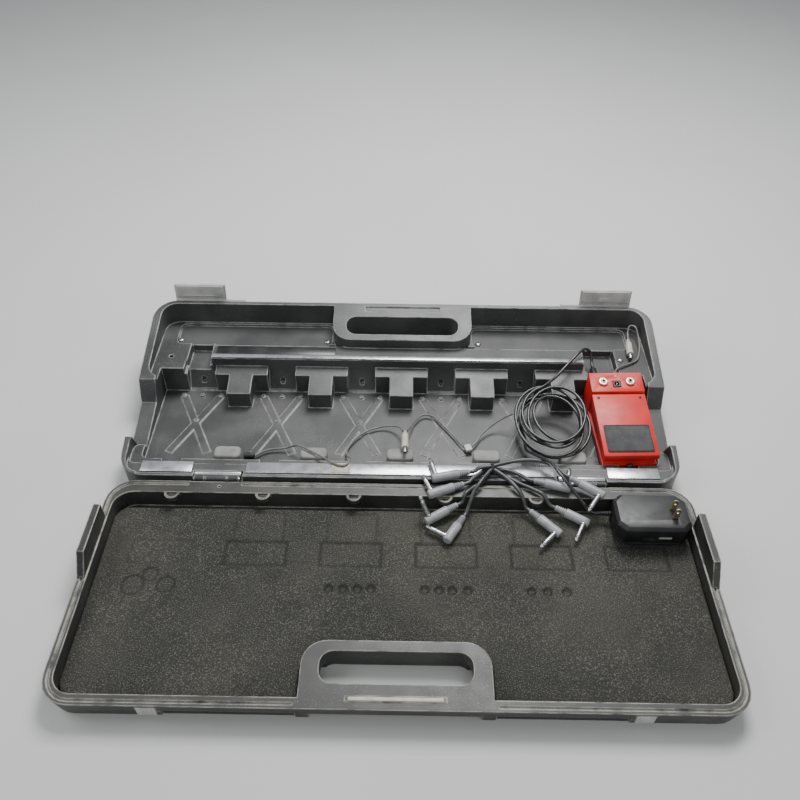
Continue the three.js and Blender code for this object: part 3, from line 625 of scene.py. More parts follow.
def finish_piece(
    piece: bpy.types.Object, finish: Finish, slot: str, body: Body, *replaced: str
) -> bpy.types.Object:
    """Gives a new piece its material and the body that it rides on.

    Args:
        piece: The piece.
        finish: Its finish.
        slot: Not used.
        body: The CAD body it moves with.
        *replaced: CAD nodes that it stands for.

    Returns:
        The same piece.
    """
    piece.data.materials.clear()
    piece.data.materials.append(finish.material())
    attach(piece, body.value)
    if replaced:
        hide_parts(*replaced)
    LOG.info("%s: %s, %d faces", piece.name, finish.name, len(piece.data.polygons))
    return piece


def refine(
    node: str, finish: Finish, slot: str, width_mm: float, segments: int = 3, angle: float = 35.0
) -> None:
    """Replaces a CAD node by a copy of itself with rounded edges and its finish.

    Args:
        node: The CAD node.
        finish: The copy's finish.
        slot: The record's material slot.
        width_mm: Width of the rounding.
        segments: Faces across it.
        angle: Edges sharper than this, in degrees, are rounded.
    """
    piece = merged_copy(node, node + "_made")
    bevel(piece, width_mm, segments, angle)
    smooth(piece)
    finish_piece(piece, finish, slot, Body(frame["nodes"][node]["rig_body"]), node)


# ---- Studio ---------------------------------------------------------------------------------


@dataclass
class Studio:
    """The camera, the lights and the floor."""

    camera_mm: Point = (2.43, -634.06, 782.66)
    pitch: float = 0.770
    yaw: float = -0.005
    roll: float = 0.012
    lens_mm: float = 36.0
    sensor_mm: float = 36.0
    floor_m: float = 12.0
    floor_gap_m: float = 0.0006
    sky: Rgb = (0.9, 0.95, 1.0)
    sky_strength: float = 0.32
    lit_point_m: Point = (0, 0, 0.03)
    lamps: tuple = (
        ("key", (0.25, 0.80, 1.5), 0.7, 34.0),
        ("side", (-1.3, 0.1, 1.3), 0.8, 9.0),
        ("fill", (0.3, -1.3, 1.5), 1.2, 8.0),
    )

    def build(self) -> None:
        """Places the camera, then the floor and the lamps."""
        self._camera()
        self._floor()
        self._lamps()
        LOG.info("studio: camera, floor and lamps")

    def _camera(self) -> None:
        """Sets the camera at the height and tilt of someone standing before the lid."""
        sp, cp = math.sin(self.pitch), math.cos(self.pitch)
        sy, cy = math.sin(self.yaw), math.cos(self.yaw)
        forward = Vector((sy * cp, cy * cp, -sp))
        right = Vector((cy, -sy, 0.0))
        up = right.cross(forward)
        tilt_c, tilt_s = math.cos(self.roll), math.sin(self.roll)
        across = right * tilt_c + up * tilt_s
        above = up * tilt_c - right * tilt_s
        data = bpy.data.cameras.new("camera")
        data.lens = self.lens_mm
        data.sensor_width = self.sensor_mm
        matrix = Matrix((across, above, -forward)).transposed().to_4x4()
        matrix.translation = place(self.camera_mm)
        camera = linked("camera", data)
        camera.matrix_world = matrix
        bpy.context.scene.camera = camera

    def _floor(self) -> None:
        """Lays a plain pale floor under the case."""
        bpy.ops.object.select_all(action="DESELECT")
        bpy.ops.mesh.primitive_plane_add(size=self.floor_m, location=(0, 0, -self.floor_gap_m))
        floor = settle(named("floor"))
        floor.data.materials.append(FLOOR.material())

    def _lamps(self) -> None:
        """Hangs one broad lamp high behind, one at the left and a weak fill by the camera."""
        world = bpy.data.worlds.new("room")
        bpy.context.scene.world = world
        world.use_nodes = True
        background = world.node_tree.nodes["Background"]
        background.inputs["Color"].default_value = (*self.sky, 1.0)
        background.inputs["Strength"].default_value = self.sky_strength
        for name, where, size, power in self.lamps:
            data = bpy.data.lights.new(name, "AREA")
            data.size = size
            data.energy = power
            lamp = linked(name, data)
            lamp.location = where
            aimed = (Vector(self.lit_point_m) - Vector(where)).to_track_quat("-Z", "Y")
            lamp.rotation_euler = aimed.to_euler()


# ---- Leads ----------------------------------------------------------------------------------


@dataclass(frozen=True)
class PlugSpot:
    """Where a right-angle plug lies: its cord's entry, its elbow and the way its tip points."""

    entry: Point
    elbow: Point
    tip: Point

    def way(self) -> Vector:
        """The unit direction from the cord's entry to the elbow."""
        return (Vector(self.elbow) - Vector(self.entry)).normalized()

    def behind(self, distance: float) -> tuple[float, float, float]:
        """A point on the plug's axis, this far behind the cord's entry."""
        return tuple(Vector(self.entry) - self.way() * distance)


@dataclass
class PatchLeads:
    """Four short patch leads with moulded right-angle plugs, tied together at their middle.

    Lengths are in millimetres.
    """

    diameter: float = 5.0
    step: float = 1.2
    buried: float = 3.0
    straight: float = 7.0
    tip_sunk: float = 0.8
    boot_ribs: int = 5
    tie_diameter: float = 1.1
    tie_step: float = 0.8
    tie_turns: float = 2.5
    tie_points: int = 45
    tie_start: Point = (112.4, 17.0, 34.6)
    tie_length: float = 3.4
    tie_reach: tuple[float, float] = (6.6, 6.9)
    routes: tuple = (
        (
            (98, 17, 36.5), (114, 20, 37.2), (132, 26, 37), (155, 31, 37), (176, 27, 39), (192, 15, 42),
        ),
        (
            (88, 0, 34.5), (98, 11, 33), (106, 18, 31.5), (114, 20, 31.3), (130, 19, 31.3),
            (146, 11, 33),
        ),
        (
            (79, -21.5, 32.6), (90, -10, 32), (100, -2, 31.8), (108, 8, 31.3), (114, 14, 31.3),
            (128, 10, 31.3), (145, -2, 31.7), (160, -12, 33.4), (173, -21.5, 33.6),
        ),
        (
            (83, -33, 22.5), (86, -27, 28.6), (90, -18.5, 35), (98, -7, 38.6), (106, 5, 38.4),
            (114, 14, 37.6), (124, 7, 37.6), (134, -3, 36.6), (141, -12, 35.6), (146, -20, 33.6),
            (149, -26.4, 29.6),
        ),
    )
    plugs: dict = field(default_factory=lambda: {
        "1a": PlugSpot((85.6, 12.4, 34.4), (44, 2, 34.4), (-0.243, 0.97, 0)),
        "2a": PlugSpot((77.6, -7.2, 34.4), (39, -23, 34.4), (-0.379, 0.925, 0)),
        "3a": PlugSpot((69.6, -31.2, 24.3), (36, -50, 19), (-0.4, 0.5, 0.77)),
        "4a": PlugSpot((76.7, -45, 18.5), (58, -76, 18.5), (-0.857, 0.515, 0)),
        "1b": PlugSpot((206.4, -1.4, 42.5), (240, -24, 39.5), (-0.56, -0.83, 0)),
        "2b": PlugSpot((163.4, -1.6, 36), (202, -12, 36), (0.26, 0.966, 0)),
        "3b": PlugSpot((187, -33, 24.3), (221, -50, 19), (-0.45, -0.89, 0)),
        "4b": PlugSpot((157, -37.5, 22.6), (186, -65, 18.7), (-0.68, -0.73, 0)),
    })

    def build(self) -> None:
        """Makes each lead with its two plugs, and the tie round all four."""
        for number, route in enumerate(self.routes, start=1):
            self._lead(number, route)
        self._tie()

    def _body_of(self, end: str) -> Body:
        """The body that a plug rides on: the first one lies on the tray, the others on the lid."""
        return Body.BASE if end == "1a" else Body.LID

    def _lead(self, number: int, route: Sequence[Point]) -> None:
        first, last = self.plugs[f"{number}a"], self.plugs[f"{number}b"]
        stubs = [first.behind(-self.buried), first.behind(self.straight)]
        ends = [last.behind(self.straight), last.behind(-self.buried)]
        line = smooth_line([place(p) for p in (*stubs, *route, *ends)], self.step)
        lead = tube(f"patch_cord_{number}", line, self.diameter)
        lead.data.materials.append(SHEATH.material())
        pieces = [*self._plug(f"{number}a", first), *self._plug(f"{number}b", last)]
        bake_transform(lead)
        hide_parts(f"patch_lead_{number}")

    def _plug(self, end: str, spot: PlugSpot) -> list[bpy.types.Object]:
        """Models one plug as a ribbed grey moulding and a turned metal tip.

        Args:
            end: The plug's short name.
            spot: Where it lies.

        Returns:
            The moulding and the tip.
        """
        length = (Vector(spot.elbow) - Vector(spot.entry)).length
        handle = turned(f"plug_grip_{end}", self._grip_profile(length), 28)
        tip = turned(f"plug_tip_{end}", self._tip_profile(), 24)
        way, tip_way = spot.way(), Vector(spot.tip).normalized()
        settle(handle, aim(place(spot.entry), tip_way, way))
        settle(tip, aim(place(Vector(spot.elbow) - way * self.tip_sunk), way, tip_way))
        body = self._body_of(end)
        finish_piece(handle, PLUG, "plug", body, f"patch_plug_{end}")
        finish_piece(tip, STEEL, "steel", body)
        return [handle, tip]

    def _grip_profile(self, length: float) -> list[Point]:
        """The moulding's outline: a ribbed boot, a waist and a round-ended barrel."""
        outline = [(0.02, 0.0), (3.1, 0.0), (3.35, 0.4)]
        for rib in range(self.boot_ribs):
            z = 1.4 + rib * 2.3
            r = 3.45 + rib * 0.22
            outline += [(r + 0.1, z), (r + 0.3, z + 1.3), (r - 0.75, z + 1.4), (r - 0.7, z + 2.2)]
        outline += [(5.2, 13.2), (5.7, 14.4), (5.75, length - 2.0), (5.75, length + 2.6)]
        return outline + [(5.4, length + 4.0), (4.4, length + 4.9), (0.02, length + 5.0)]

    @staticmethod
    def _tip_profile() -> list[Point]:
        """The metal tip's outline: collar, sleeve, ring gap, neck and ball end."""
        return [
            (0.02, 0.0), (4.0, 0.0), (4.0, 6.0), (3.15, 6.3), (3.15, 21.0), (2.75, 21.2), (2.75, 22.3),
            (3.15, 22.5), (3.15, 24.4), (2.3, 25.6), (2.1, 26.4), (3.0, 28.2), (2.6, 29.6), (1.2, 31.4),
            (0.02, 31.6),
        ]

    def _tie(self) -> None:
        """Winds a dark twist tie round the four leads at their middle."""
        x, y, z = self.tie_start
        wide, high = self.tie_reach
        points = []
        for k in range(self.tie_points + 1):
            a = math.tau * self.tie_turns * k / self.tie_points
            along = x + self.tie_length * k / self.tie_points
            points.append(place((along, y + wide * math.cos(a), z + high * math.sin(a))))
        tie = tube("lead_tie", smooth_line(points, self.tie_step), self.tie_diameter, 2)
        finish_piece(tie, BLACK, "black", Body.BASE)


@dataclass
class MainsLead:
    """The adapter's thin black lead: a run over the plugs, a loose coil and a tail into the power pedal.

    Lengths are in millimetres. The coil's radius, place and height wander from turn to turn, and
    one turn is tucked in, so that its turns cross each other.
    """

    diameter: float = 4.0
    step: float = 1.6
    centre: Point = (198.0, 98.0, 42.0)
    tilt_deg: float = 8.0
    stretch: float = 1.16
    turns: int = 7
    turn_points: int = 26
    first_deg: float = 205.0
    last_deg: float = 105.0
    radius: float = 41.0
    wander: float = 7.0
    ripple: float = 3.0
    tuck: float = 13.0
    tuck_turn: float = 3.3
    tuck_spread: float = 0.5
    bottom: float = -12.0
    rise: float = 23.0
    wave: float = 1.2
    drift: tuple[float, float] = (7.0, 6.0)
    run: tuple = (
        (241, -42, 26), (234.4, -42, 26), (226, -39.5, 28), (218, -33, 35), (209, -24, 42.5),
        (200, -12, 47), (193, 0, 49), (187, 13, 48), (178, 27, 44.4), (167, 41, 38), (160, 54, 31),
    )
    tail: tuple = (
        (199, 152.6, 59), (209, 163, 59.6), (220, 176, 62), (232, 189, 66), (243, 201, 69),
        (253, 209.5, 68), (260.5, 211, 61.5), (262.6, 205, 54.5), (262.6, 196, 50.6), (262.6, 186, 50),
    )

    def build(self) -> None:
        """Makes the whole lead as one cord, and its plug."""
        points = [place(p) for p in (*self.run, *self._coil(), *self.tail)]
        line = smooth_line(points, self.step)
        lead = tube("adapter_cord", line, self.diameter)
        lead.data.materials.append(MAINS.material())
        plug = merged_copy("adapter_plug", "cord_plug")
        bevel(plug, 0.7, 2)
        smooth(plug, SOFT_DEG)
        finish_piece(plug, BLACK, "black", Body.BASE, "adapter_plug")
        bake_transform(lead)
        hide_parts("adapter_lead_run", "adapter_lead_coil", "adapter_lead_tail")

    def _coil(self) -> list[Point]:
        """Works out the coil's turns: clockwise from the left, on two loose layers."""
        start, end = math.radians(self.first_deg), math.radians(self.last_deg)
        sweep = math.tau * (self.turns - 1) + (start - end)
        count = self.turn_points * self.turns
        tilt = math.radians(self.tilt_deg)
        made = []
        for k in range(count + 1):
            t = k / count
            a = start - sweep * t
            turn = sweep * t / math.tau
            fade = math.sin(math.pi * t) ** 0.5  # the ends keep to the plain circle
            radius = self.radius + fade * (
                self.wander * math.sin(1.9 * turn + 0.6) + self.ripple * math.sin(2 * a + turn * 1.1)
            )
            radius -= fade * self.tuck * math.exp(-((turn - self.tuck_turn) / self.tuck_spread) ** 2)
            height = self.bottom + self.rise * t + self.wave * math.sin(a + turn * 1.3)
            u = radius * math.cos(a) + fade * self.drift[0] * math.sin(2.6 * turn)
            v = radius * math.sin(a) * self.stretch + fade * self.drift[1] * math.cos(2.1 * turn + 1)
            x = self.centre[0] + u
            y = self.centre[1] + v * math.cos(tilt) - height * math.sin(tilt)
            z = self.centre[2] + v * math.sin(tilt) + height * math.cos(tilt)
            made.append((x, y, z))
        return made


@dataclass
class DcLeads:
    """Three thin grey leads that daisy-chain the power along the bays, with cream in-line plugs."""

    diameter: float = 2.6
    step: float = 1.0
    clip_spot: Point = (88, 68, 17)
    clip_half: Point = (4.4, 5.4, 2.4)
    clip_turn: float = 0.3
    left: tuple = (
        (-186.2, 50, 16), (-172, 60, 15.8), (-150, 63, 17), (-139, 62, 22), (-130, 58, 28),
        (-110, 46, 28.8), (-92, 33, 30), (-78, 24, 30.4), (-68, 24, 30.4), (-63, 34, 29.6),
        (-66, 46, 22), (-69, 60, 16.4), (-62, 78, 16), (-47, 95, 16), (-28, 104, 16), (-12, 104, 19),
        (-1, 97, 23.6), (3, 87.5, 26.6),
    )
    middle: tuple = (
        (9, 87.5, 26.6), (13, 100, 23), (19, 115, 18), (31, 128, 16.5), (43, 126, 16), (56, 110, 16.6),
        (70, 90, 16.5), (80, 74, 16.5), (88, 68, 17), (97, 76, 17.5), (107, 92, 19), (120, 104, 22),
        (134, 110.6, 29), (147.2, 112, 37),
    )
    right: tuple = (
        (288.3, 166, 50), (288.6, 174, 50.6), (295, 185, 54.6), (309, 193, 55), (324.5, 203, 54.4),
        (332.5, 224, 56), (334, 246, 62), (331, 260, 68), (325, 264, 66), (321.6, 257, 61),
        (320.2, 244, 57.4),
    )

    def build(self) -> None:
        """Makes the three leads, their plugs and the small clip."""
        end_plug = merged_copy("dc_plug_left", "dc_end_plug")
        bevel(end_plug, 0.8, 3)
        smooth(end_plug, SOFT_DEG)
        finish_piece(end_plug, BLACK, "black", Body.BASE, "dc_plug_left")
        inline = self._inline("dc_plug_middle", "dc_inline_plug", (6, 87, 26.6), (6, 52, 32.2))
        upright = self._inline("dc_plug_right", "dc_corner_plug", (320, 243.2, 57.2), (317, 212, 57.2))
        self._lead("dc_cord_left", self.left, "dc_lead_left", [end_plug, *inline])
        self._lead("dc_cord_middle", self.middle, "dc_lead_middle", inline)
        self._lead("dc_cord_right", self.right, "dc_lead_right", upright)
        self._clip()

    def _lead(self, name: str, route: Sequence[Point], node: str, plugs: list[bpy.types.Object]) -> None:
        """Args:
            name: The lead's name.
            route: The points it follows.
            node: The CAD node it stands for.
            plugs: Not used.
        """
        line = smooth_line([place(p) for p in route], self.step)
        lead = tube(name, line, self.diameter, 3)
        finish_piece(lead, THIN, "thin", Body.BASE, node)

    def _inline(self, node: str, name: str, start: Point, end: Point) -> list[bpy.types.Object]:
        """Turns a cream in-line plug with a flared collar and a metal barrel.

        Args:
            node: The CAD node it stands for.
            name: Its name.
            start: Where its lead enters.
            end: Its collar's face.

        Returns:
            The moulding and the barrel.
        """
        a, b = Vector(start), Vector(end)
        length = (b - a).length
        outline = [
            (0.02, 0), (1.9, 0), (2.2, 0.6), (2.2, 4), (2.9, 5.5), (4.3, 8), (4.45, 9), (4.45, length - 8),
            (4.75, length - 7), (4.8, length - 1), (4.4, length), (0.02, length),
        ]
        sleeve = [(1.0, 0.0), (2.7, 0.0), (2.7, 8.4), (2.4, 8.9), (1.1, 8.9), (1.0, 8.0)]
        grip = turned(name, outline, 28)
        barrel = turned(name + "_barrel", sleeve, 24)
        way = (b - a).normalized()
        settle(grip, aim(place(start), Vector((1, 0, 0)), way))
        settle(barrel, aim(place(end), Vector((1, 0, 0)), way))
        finish_piece(grip, CREAM, "cream", Body.BASE, node)
        finish_piece(barrel, STEEL, "steel", Body.BASE)
        return [grip, barrel]

    def _clip(self) -> None:
        """Adds the small clear-grey clip round the middle lead."""
        half = Vector(self.clip_half)
        clip = rounded_box("lead_clip", -half, half, 1.2)
        smooth(clip, SOFT_DEG)
        turn = Matrix.Rotation(self.clip_turn, 4, "Z")
        settle(clip, Matrix.Translation(place(self.clip_spot)) @ turn)
        finish_piece(clip, LATCH, "latch", Body.BASE)


# ---- Case -----------------------------------------------------------------------------------


@dataclass
class Case:
    """The tray, the lid and everything fixed to them."""

    screw_spots: tuple = ((-314, 239, 48), (-106, 239, 48), (108, 239, 48), (303, 205, 52))
    tape_low: Point = (-85, 12.5, 28.45)
    tape_high: Point = (-62, 28.5, 28.6)
    tape_mm: float = 0.12
    pad_spot: Point = (288, 285.72, 84)
    pad_lean_deg: float = -8.0
    pad_marks: tuple = (
        ("left", -1, (-24, -4.0, 8.6), (21, -3.5, 10.4)),
        ("right", 1, (-9.5, -4.2, 8.8), (9.5, -3.5, 15.2)),
    )

    def build(self) -> None:
        """Makes both shells, the trim, latches, stops, screws and the strip of old tape."""
        self._shell("base_shell", "tray_moulding", TRAY, "shell", 0.5, 0.6)
        self._shell("lid_shell", "lid_moulding", LID, "lid", 0.3, 0.002)
        for node in ("trim_strip", "rail_strip_left", "rail_strip_middle", "rail_strip_right"):
            refine(node, SILVER, "silver", 0.35, 2)
        for side in ("left", "right"):
            refine(f"hinge_cover_{side}", SILVER, "silver", 0.6, 3, 50)
            refine(f"hinge_pin_{side}", STEEL, "steel", 0.3, 2)
            refine(f"latch_{side}", LATCH, "latch", 0.5, 3)
            refine(f"latch_bracket_{side}", LATCH, "latch", 0.3, 2)
            refine(f"lid_catch_{side}", LATCH, "latch", 0.5, 3)
        refine("label_plate", PLATE, "plate", 0.3, 2)
        for number in range(1, 6):
            refine(f"pedal_stop_{number}", STOP, "stop", 1.6, 4, 20)
        for number, spot in enumerate(self.screw_spots, start=1):
            self._screw(f"screw_{number}", spot)
        self._tape()
        self._highlit_grip_bar()
        self._latch_pads()

    def _latch_pads(self) -> None:
        """Thickens each latch lever's face with a rounded moulded pad and a raised mark."""
        lean = Matrix.Rotation(math.radians(self.pad_lean_deg), 4, "X")
        x, y, z = self.pad_spot
        for side, sign, mark_low, mark_high in self.pad_marks:
            pad = rounded_box(f"latch_pad_{side}", (-33.5, -3.4, 7.0), (33.5, -1.25, 24.4), 1.0)
            mark = rounded_box("mark", mark_low, mark_high, 0.4, 2)
            pad = joined(f"latch_pad_{side}", [pad, mark])
            smooth(pad, SOFT_DEG)
            settle(pad, Matrix.Translation(place((sign * x, y, z))) @ lean)
            finish_piece(pad, LATCH, "latch", Body(f"latch_{side}"))

    def _shell(
        self, node: str, name: str, finish: Finish, slot: str, round_mm: float, merge_mm: float
    ) -> None:
        """Replaces a shell by a merged copy with rounded edges.

        Args:
            node: The CAD node.
            name: The new piece's name.
            finish: Its finish.
            slot: Its record slot.
            round_mm: Width of the rounding.
            merge_mm: Edges shorter than this are closed up first, so that the rounding meets cleanly.
        """
        piece = merged_copy(node, name)
        piece.modifiers.new("triangles", "TRIANGULATE")
        weld = piece.modifiers.new("short edges", "WELD")
        weld.merge_threshold = merge_mm * MM
        apply_modifiers(piece)
        bevel(piece, round_mm, 2, 42, clamp=False)
        smooth(piece, SOFT_DEG)
        flat = piece.modifiers.new("flat faces", "WEIGHTED_NORMAL")
        flat.keep_sharp = True
        flat.weight = 80
        apply_modifiers(piece)
        finish_piece(piece, finish, slot, Body(frame["nodes"][node]["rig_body"]), node)

    def _screw(self, name: str, spot: Point) -> None:
        """Turns a domed screw head and cuts its cross slot."""
        dome = [(0.02, -0.4), (3.9, -0.4), (4.0, 0.2), (3.6, 1.1), (2.6, 1.8), (1.2, 2.1), (0.02, 2.15)]
        head = turned(name, dome, 32, None)
        slots = ((-2.2, -0.45, 0.9), (2.2, 0.45, 4.0)), ((-0.45, -2.2, 0.9), (0.45, 2.2, 4.0))
        bars = [cube("slot_bar", low, high) for low, high in slots]
        for bar in bars:
            cut = head.modifiers.new("slot", "BOOLEAN")
            cut.object = bar
            cut.operation = "DIFFERENCE"
            apply_modifiers(head)
            bpy.data.objects.remove(bar)
        smooth(head, 35)
        x, y, z = spot
        settle(head, Matrix.Translation(place((x, y, z + 0.5))) @ Matrix.Rotation(x * 0.7, 4, "Z"))
        finish_piece(head, STEEL, "steel", Body.BASE)

    def _tape(self) -> None:
        """Sticks a curled piece of old tape on the front strip."""
        low, high = Vector(self.tape_low), Vector(self.tape_high)
        bpy.ops.object.select_all(action="DESELECT")
        bpy.ops.mesh.primitive_grid_add(x_subdivisions=24, y_subdivisions=18, size=1)
        tape = named("old_tape_patch")
        tape.scale = ((high.x - low.x) * MM, (high.y - low.y) * MM, 1)
        settle(tape)
        for v in tape.data.vertices:
            u, w = v.co.x / MM, v.co.y / MM
            v.co.x += 0.5 * MM * math.sin(w * 1.7)
            v.co.y += 0.4 * MM * math.sin(u * 1.3 + 1)
            ripple = 0.10 * math.sin(u * 0.9) * math.cos(w * 1.1)
            v.co.z = (0.12 + ripple + 0.0022 * (u * u + w * w) * 0.6) * MM
        solid = tape.modifiers.new("thick", "SOLIDIFY")
        solid.thickness = self.tape_mm * MM
        solid.offset = 1
        apply_modifiers(tape)
        smooth(tape, SOFT_DEG)
        centre = (low + high) / 2
        settle(tape, Matrix.Translation(place((centre.x, centre.y, low.z))))
        finish_piece(tape, TAPE, "cream", Body.BASE)

    def _highlit_grip_bar(self) -> None:
        """Adds the thin raised bar set in the lid's handle; its cream colour is partly a painted highlight
        along the handle.
        """
        bar = rounded_box("lid_grip_bar_highlight", (-47, -279.2, 28.9), (47, -275.2, 30.4), 0.7)
        smooth(bar, SOFT_DEG)
        settle(bar, Matrix.Translation((0, SHIFT_Y * MM, 0)))
        # cream: the bar's pale tone, and a painted highlight along the handle
        finish_piece(bar, CREAM, "latch", Body.LID)


@dataclass
class FoamPad:
    """The lid's foam sheet, pressed where pedals have stood against it.

    Lengths are in millimetres from the hinge line. A mark ends with its depth and its darkness,
    the painted shade along its creased outline, which also deepens that outline.
    """

    voxel_mm: float = 2.0
    pitch: float = 110.0
    bays: int = 6
    first_bay: float = 0.45
    bay_marks: tuple = ((35, -112, -80, 1.3, 1.0), (29, -79, -38, 0.7, 0.5))
    knob_rows: tuple = ((-77, -61, -45, -30), (30, 46, 61, 78), (149, 167, 188))
    knob_mark: tuple = (-142, 4.4, 2.2, 1.0)
    rings: tuple = ((-296, -141, 12.0), (-279, -127, 8.5), (-259, -140, 10.0))
    ring_mark: tuple = (0.9, 0.8)

    def build(self) -> None:
        foam = merged_copy("foam_pad", "foam_sheet")
        remesh = foam.modifiers.new("fine", "REMESH")
        remesh.mode = "VOXEL"
        remesh.voxel_size = self.voxel_mm * MM
        apply_modifiers(foam)
        self._press(foam)
        choose(foam)
        bpy.ops.object.shade_smooth()
        finish_piece(foam, FOAM, "foam", Body.LID, "foam_pad")

    def _press(self, foam: bpy.types.Object) -> None:
        """Moves the top's vertices: soft unevenness, then each pressed mark and its creased outline; stores
        the creases' painted shade.
        """
        mesh = foam.data
        co = np.zeros(len(mesh.vertices) * 3)
        mesh.vertices.foreach_get("co", co)
        co = co.reshape(-1, 3)
        x, y = co[:, 0] / MM, co[:, 1] / MM - SHIFT_Y
        top = co[:, 2].max()
        share = np.clip((co[:, 2] - top + 3 * MM) / (2 * MM), 0, 1)
        wide = 0.35 * np.sin(x * 0.031 + 1.2) * np.sin(y * 0.047)
        small = 0.12 * np.sin(x * 0.21) * np.sin(y * 0.17)
        down = 0.45 + wide + small
        crease_shade = np.zeros(len(x))
        shaded_marks = []
        for bay in range(self.bays):
            centre = (bay - (self.bays - 1) / 2) * self.pitch
            faint = self.first_bay if bay == 0 else 1.0
            for half, low, high, depth, dark in self.bay_marks:
                shaded_marks.append((self._box_reach(x, y, centre, half, low, high), depth * faint, dark * faint))
        row_y, knob_radius, depth, dark = self.knob_mark
        for row in self.knob_rows:
            shaded_marks += [(self._round_reach(x, y, knob, row_y, knob_radius), depth, dark) for knob in row]
        for cx, cy, radius in self.rings:
            shaded_marks.append((self._round_reach(x, y, cx, cy, radius), *self.ring_mark))
        for reach, depth, dark in shaded_marks:
            crease_depth = 0.9 * dark * np.clip(1 - np.abs(reach) / 2.0, 0, 1)
            down += depth * np.clip(reach / 1.2 + 0.5, 0, 1) + crease_depth
            crease_shade = np.maximum(crease_shade, dark * np.clip(1.25 - np.abs(reach) / 1.6, 0, 1))
        co[:, 2] -= share * np.maximum(down, 0.05) * MM
        mesh.vertices.foreach_set("co", co.ravel())
        # the painted shade along the creases, which the foam's finish reads
        pressed = mesh.attributes.new("pressed", "FLOAT", "POINT")
        pressed.data.foreach_set("value", (crease_shade * share * 0.85).astype(np.float32))
        mesh.update()

    @staticmethod
    def _box_reach(
        x: np.ndarray, y: np.ndarray, centre: float, half: float, low: float, high: float
    ) -> np.ndarray:
        """How far each point lies inside a rectangle, in millimetres; below zero outside."""
        return np.minimum(half - np.abs(x - centre), np.minimum(y - low, high - y))

    @staticmethod
    def _round_reach(x: np.ndarray, y: np.ndarray, cx: float, cy: float, radius: float) -> np.ndarray:
        """How far each point lies inside a circle, in millimetres; below zero outside."""
        return radius - np.hypot(x - cx, y - cy)


# ---- Power pedal and adapter ----------------------------------------------------------------


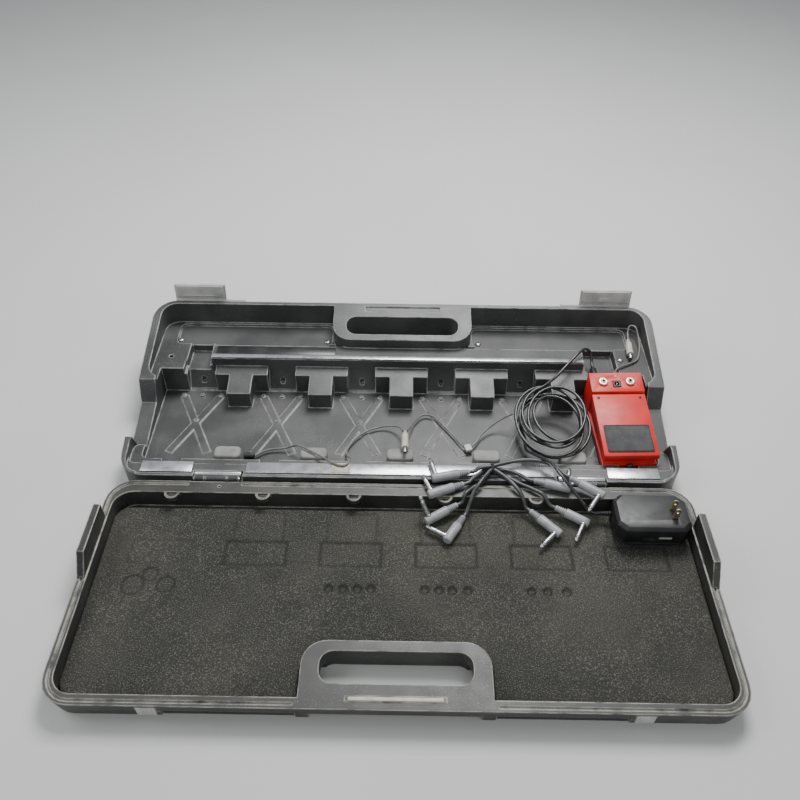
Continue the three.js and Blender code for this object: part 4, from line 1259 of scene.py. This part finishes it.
@dataclass
class PowerPedal:
    """The red power pedal with its treadle, sockets, lamp and thumbscrew."""

    origin: Point = (291, 40, 14)
    yaw_deg: float = 2.1
    deck_front: float = 97.0
    deck_low: float = 43.0
    deck_rise: float = 6.0 / 31.0
    treadle_origin: Point = (0, 2, 25)
    treadle_slope: float = math.atan2(15.0, 93.0)
    bush: tuple = ((2.4, -6), (3.1, -6), (3.1, 3.6), (2.8, 4.0), (2.5, 4.0), (2.4, 3.6))
    pin: tuple = ((0.02, -5), (1.0, -5), (1.0, 0.2), (0.6, 0.7), (0.02, 0.8))
    lamp: tuple = ((0.02, -2.6), (1.75, -2.6), (1.75, 0.5), (1.4, 1.2), (0.8, 1.6), (0.02, 1.75))
    screw: tuple = ((0.02, -0.4), (1.7, -0.4), (1.7, 0.5), (1.2, 0.9), (0.02, 1.0))
    rim: tuple = (
        ((-28.6, 4.0, 1.5), (28.6, 4.6, 2.0)), ((-28.6, 42.4, 1.5), (28.6, 43.0, 2.0)),
        ((-28.6, 4.0, 1.5), (-28.0, 43.0, 2.0)), ((28.0, 4.0, 1.5), (28.6, 43.0, 2.0)),
    )

    def build(self) -> None:
        """Makes the casing and its fittings."""
        for node, finish, slot, width_mm, segments in (
            ("unit_case", RED, "red", 0.9, 3), ("treadle", RED, "red", 0.9, 3),
            ("treadle_pad", RUBBER, "rubber", 0.4, 2), ("unit_base_plate", BLACK, "black", 0.4, 2),
            ("treadle_spring", STEEL, "steel", 0.2, 1), ("jack_left", NICKEL, "jack", 0.5, 3),
            ("jack_right", NICKEL, "jack", 0.5, 3), ("dc_socket", BLACK, "black", 0.5, 2),
            ("thumbscrew", BLACK, "black", 0.5, 2),
        ):
            refine(node, finish, slot, width_mm, segments)
        for side, x in (("left", -18), ("right", 18)):
            bush = turned(f"jack_bush_{side}", self.bush, 32)
            self._fix(bush, self._on_deck(x, 112), NICKEL, "jack")
        self._fix(turned("dc_pin", self.pin, 20), self._on_deck(0, 109), NICKEL, "jack")
        self._fix(turned("power_lamp", self.lamp, 24, 60), self._on_deck(0, 121), LENS, "red")
        for side, x in (("left", -27.5), ("right", 27.5)):
            screw = turned(f"treadle_screw_{side}", self.screw, 20)
            self._fix(screw, self._on_treadle(x, 88.5), BLACK, "black", Body.TREADLE)
        self._pad_rim()

    def _fix(
        self, piece: bpy.types.Object, at: Matrix, finish: Finish, slot: str, body: Body = Body.BASE
    ) -> None:
        """Settles a small fitting where a matrix says, and finishes it."""
        settle(piece, at)
        finish_piece(piece, finish, slot, body)

    def _placed(self) -> Matrix:
        """The matrix from the pedal's own millimetres, already in metres, to the row's frame."""
        return Matrix.Translation(place(self.origin)) @ Matrix.Rotation(math.radians(self.yaw_deg), 4, "Z")

    def _on_treadle(self, x: float, along: float) -> Matrix:
        """The matrix that stands a piece on the treadle's sloping face."""
        start = Vector((x, *self.treadle_origin[1:])) * MM
        slope = Matrix.Rotation(self.treadle_slope, 4, "X")
        return self._placed() @ Matrix.Translation(start) @ slope @ Matrix.Translation((0, along * MM, 0))

    def _on_deck(self, x: float, y: float) -> Matrix:
        """The matrix that stands a piece on the sloping deck at a place of the pedal's own."""
        z = self.deck_low + (y - self.deck_front) * self.deck_rise
        slope = Matrix.Rotation(math.atan(self.deck_rise), 4, "X")
        return self._placed() @ Matrix.Translation(Vector((x, y, z)) * MM) @ slope

    def _pad_rim(self) -> None:
        """Adds the low raised rim of the rubber foot pad."""
        rim = joined("pad_ribs", [cube("rib", low, high) for low, high in self.rim])
        bevel(rim, 0.15, 1)
        self._fix(rim, self._on_treadle(0, 0), RUBBER, "rubber", Body.TREADLE)


@dataclass
class WallAdapter:
    """The black plug-in adapter lying on its face, blades up."""

    relief_ribs: int = 6
    mark_low: Point = (300, -79.5, 27.4)
    mark_high: Point = (315, -78.4, 30.2)

    def build(self) -> None:
        """Makes the adapter's housing, its blades, its light mark and the ribbed strain relief."""
        refine("adapter_case", BLACK, "black", 1.3, 3, 25)
        refine("adapter_cover", BLACK, "black", 1.0, 3, 25)
        for number in (1, 2):
            refine(f"adapter_blade_{number}", BRASS, "brass", 0.25, 2)
        mark = rounded_box("adapter_mark", self.mark_low, self.mark_high, 0.3, 2)
        smooth(mark, SOFT_DEG)
        settle(mark, Matrix.Translation((0, SHIFT_Y * MM, 0)))
        finish_piece(mark, LATCH, "latch", Body.ADAPTER)
        self._strain_relief()

    def _strain_relief(self) -> None:
        """Turns the tapered ribbed sleeve where the lead leaves the adapter."""
        low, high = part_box("adapter_strain_relief")
        length = (high.x - low.x) / MM
        outline = [(1.95, 0.0), (3.6, 0.0)]
        for rib in range(self.relief_ribs):
            z = 1.0 + rib * (length - 2) / self.relief_ribs
            r = 3.5 - rib * 0.17
            outline += [(r, z), (r, z + 1.5), (r - 0.6, z + 1.7), (r - 0.6, z + 2.4)]
        outline += [(2.5, length), (1.95, length)]
        sleeve = turned("strain_relief_sleeve", outline, 28)
        middle = (low + high) / 2
        settle(sleeve, aim(Vector((high.x, middle.y, middle.z)), Vector((0, 1, 0)), Vector((-1, 0, 0))))
        finish_piece(sleeve, BLACK, "black", Body.ADAPTER, "adapter_strain_relief")


def main() -> None:
    """Builds the scene: camera and cords first, then the case and what lies in it."""
    logging.basicConfig(level=logging.INFO, format="%(name)s %(message)s")
    parts = Studio(), PatchLeads(), MainsLead(), DcLeads(), Case(), FoamPad(), PowerPedal(), WallAdapter()
    for part in parts:
        part.build()


if __name__ == "__main__":
    main()
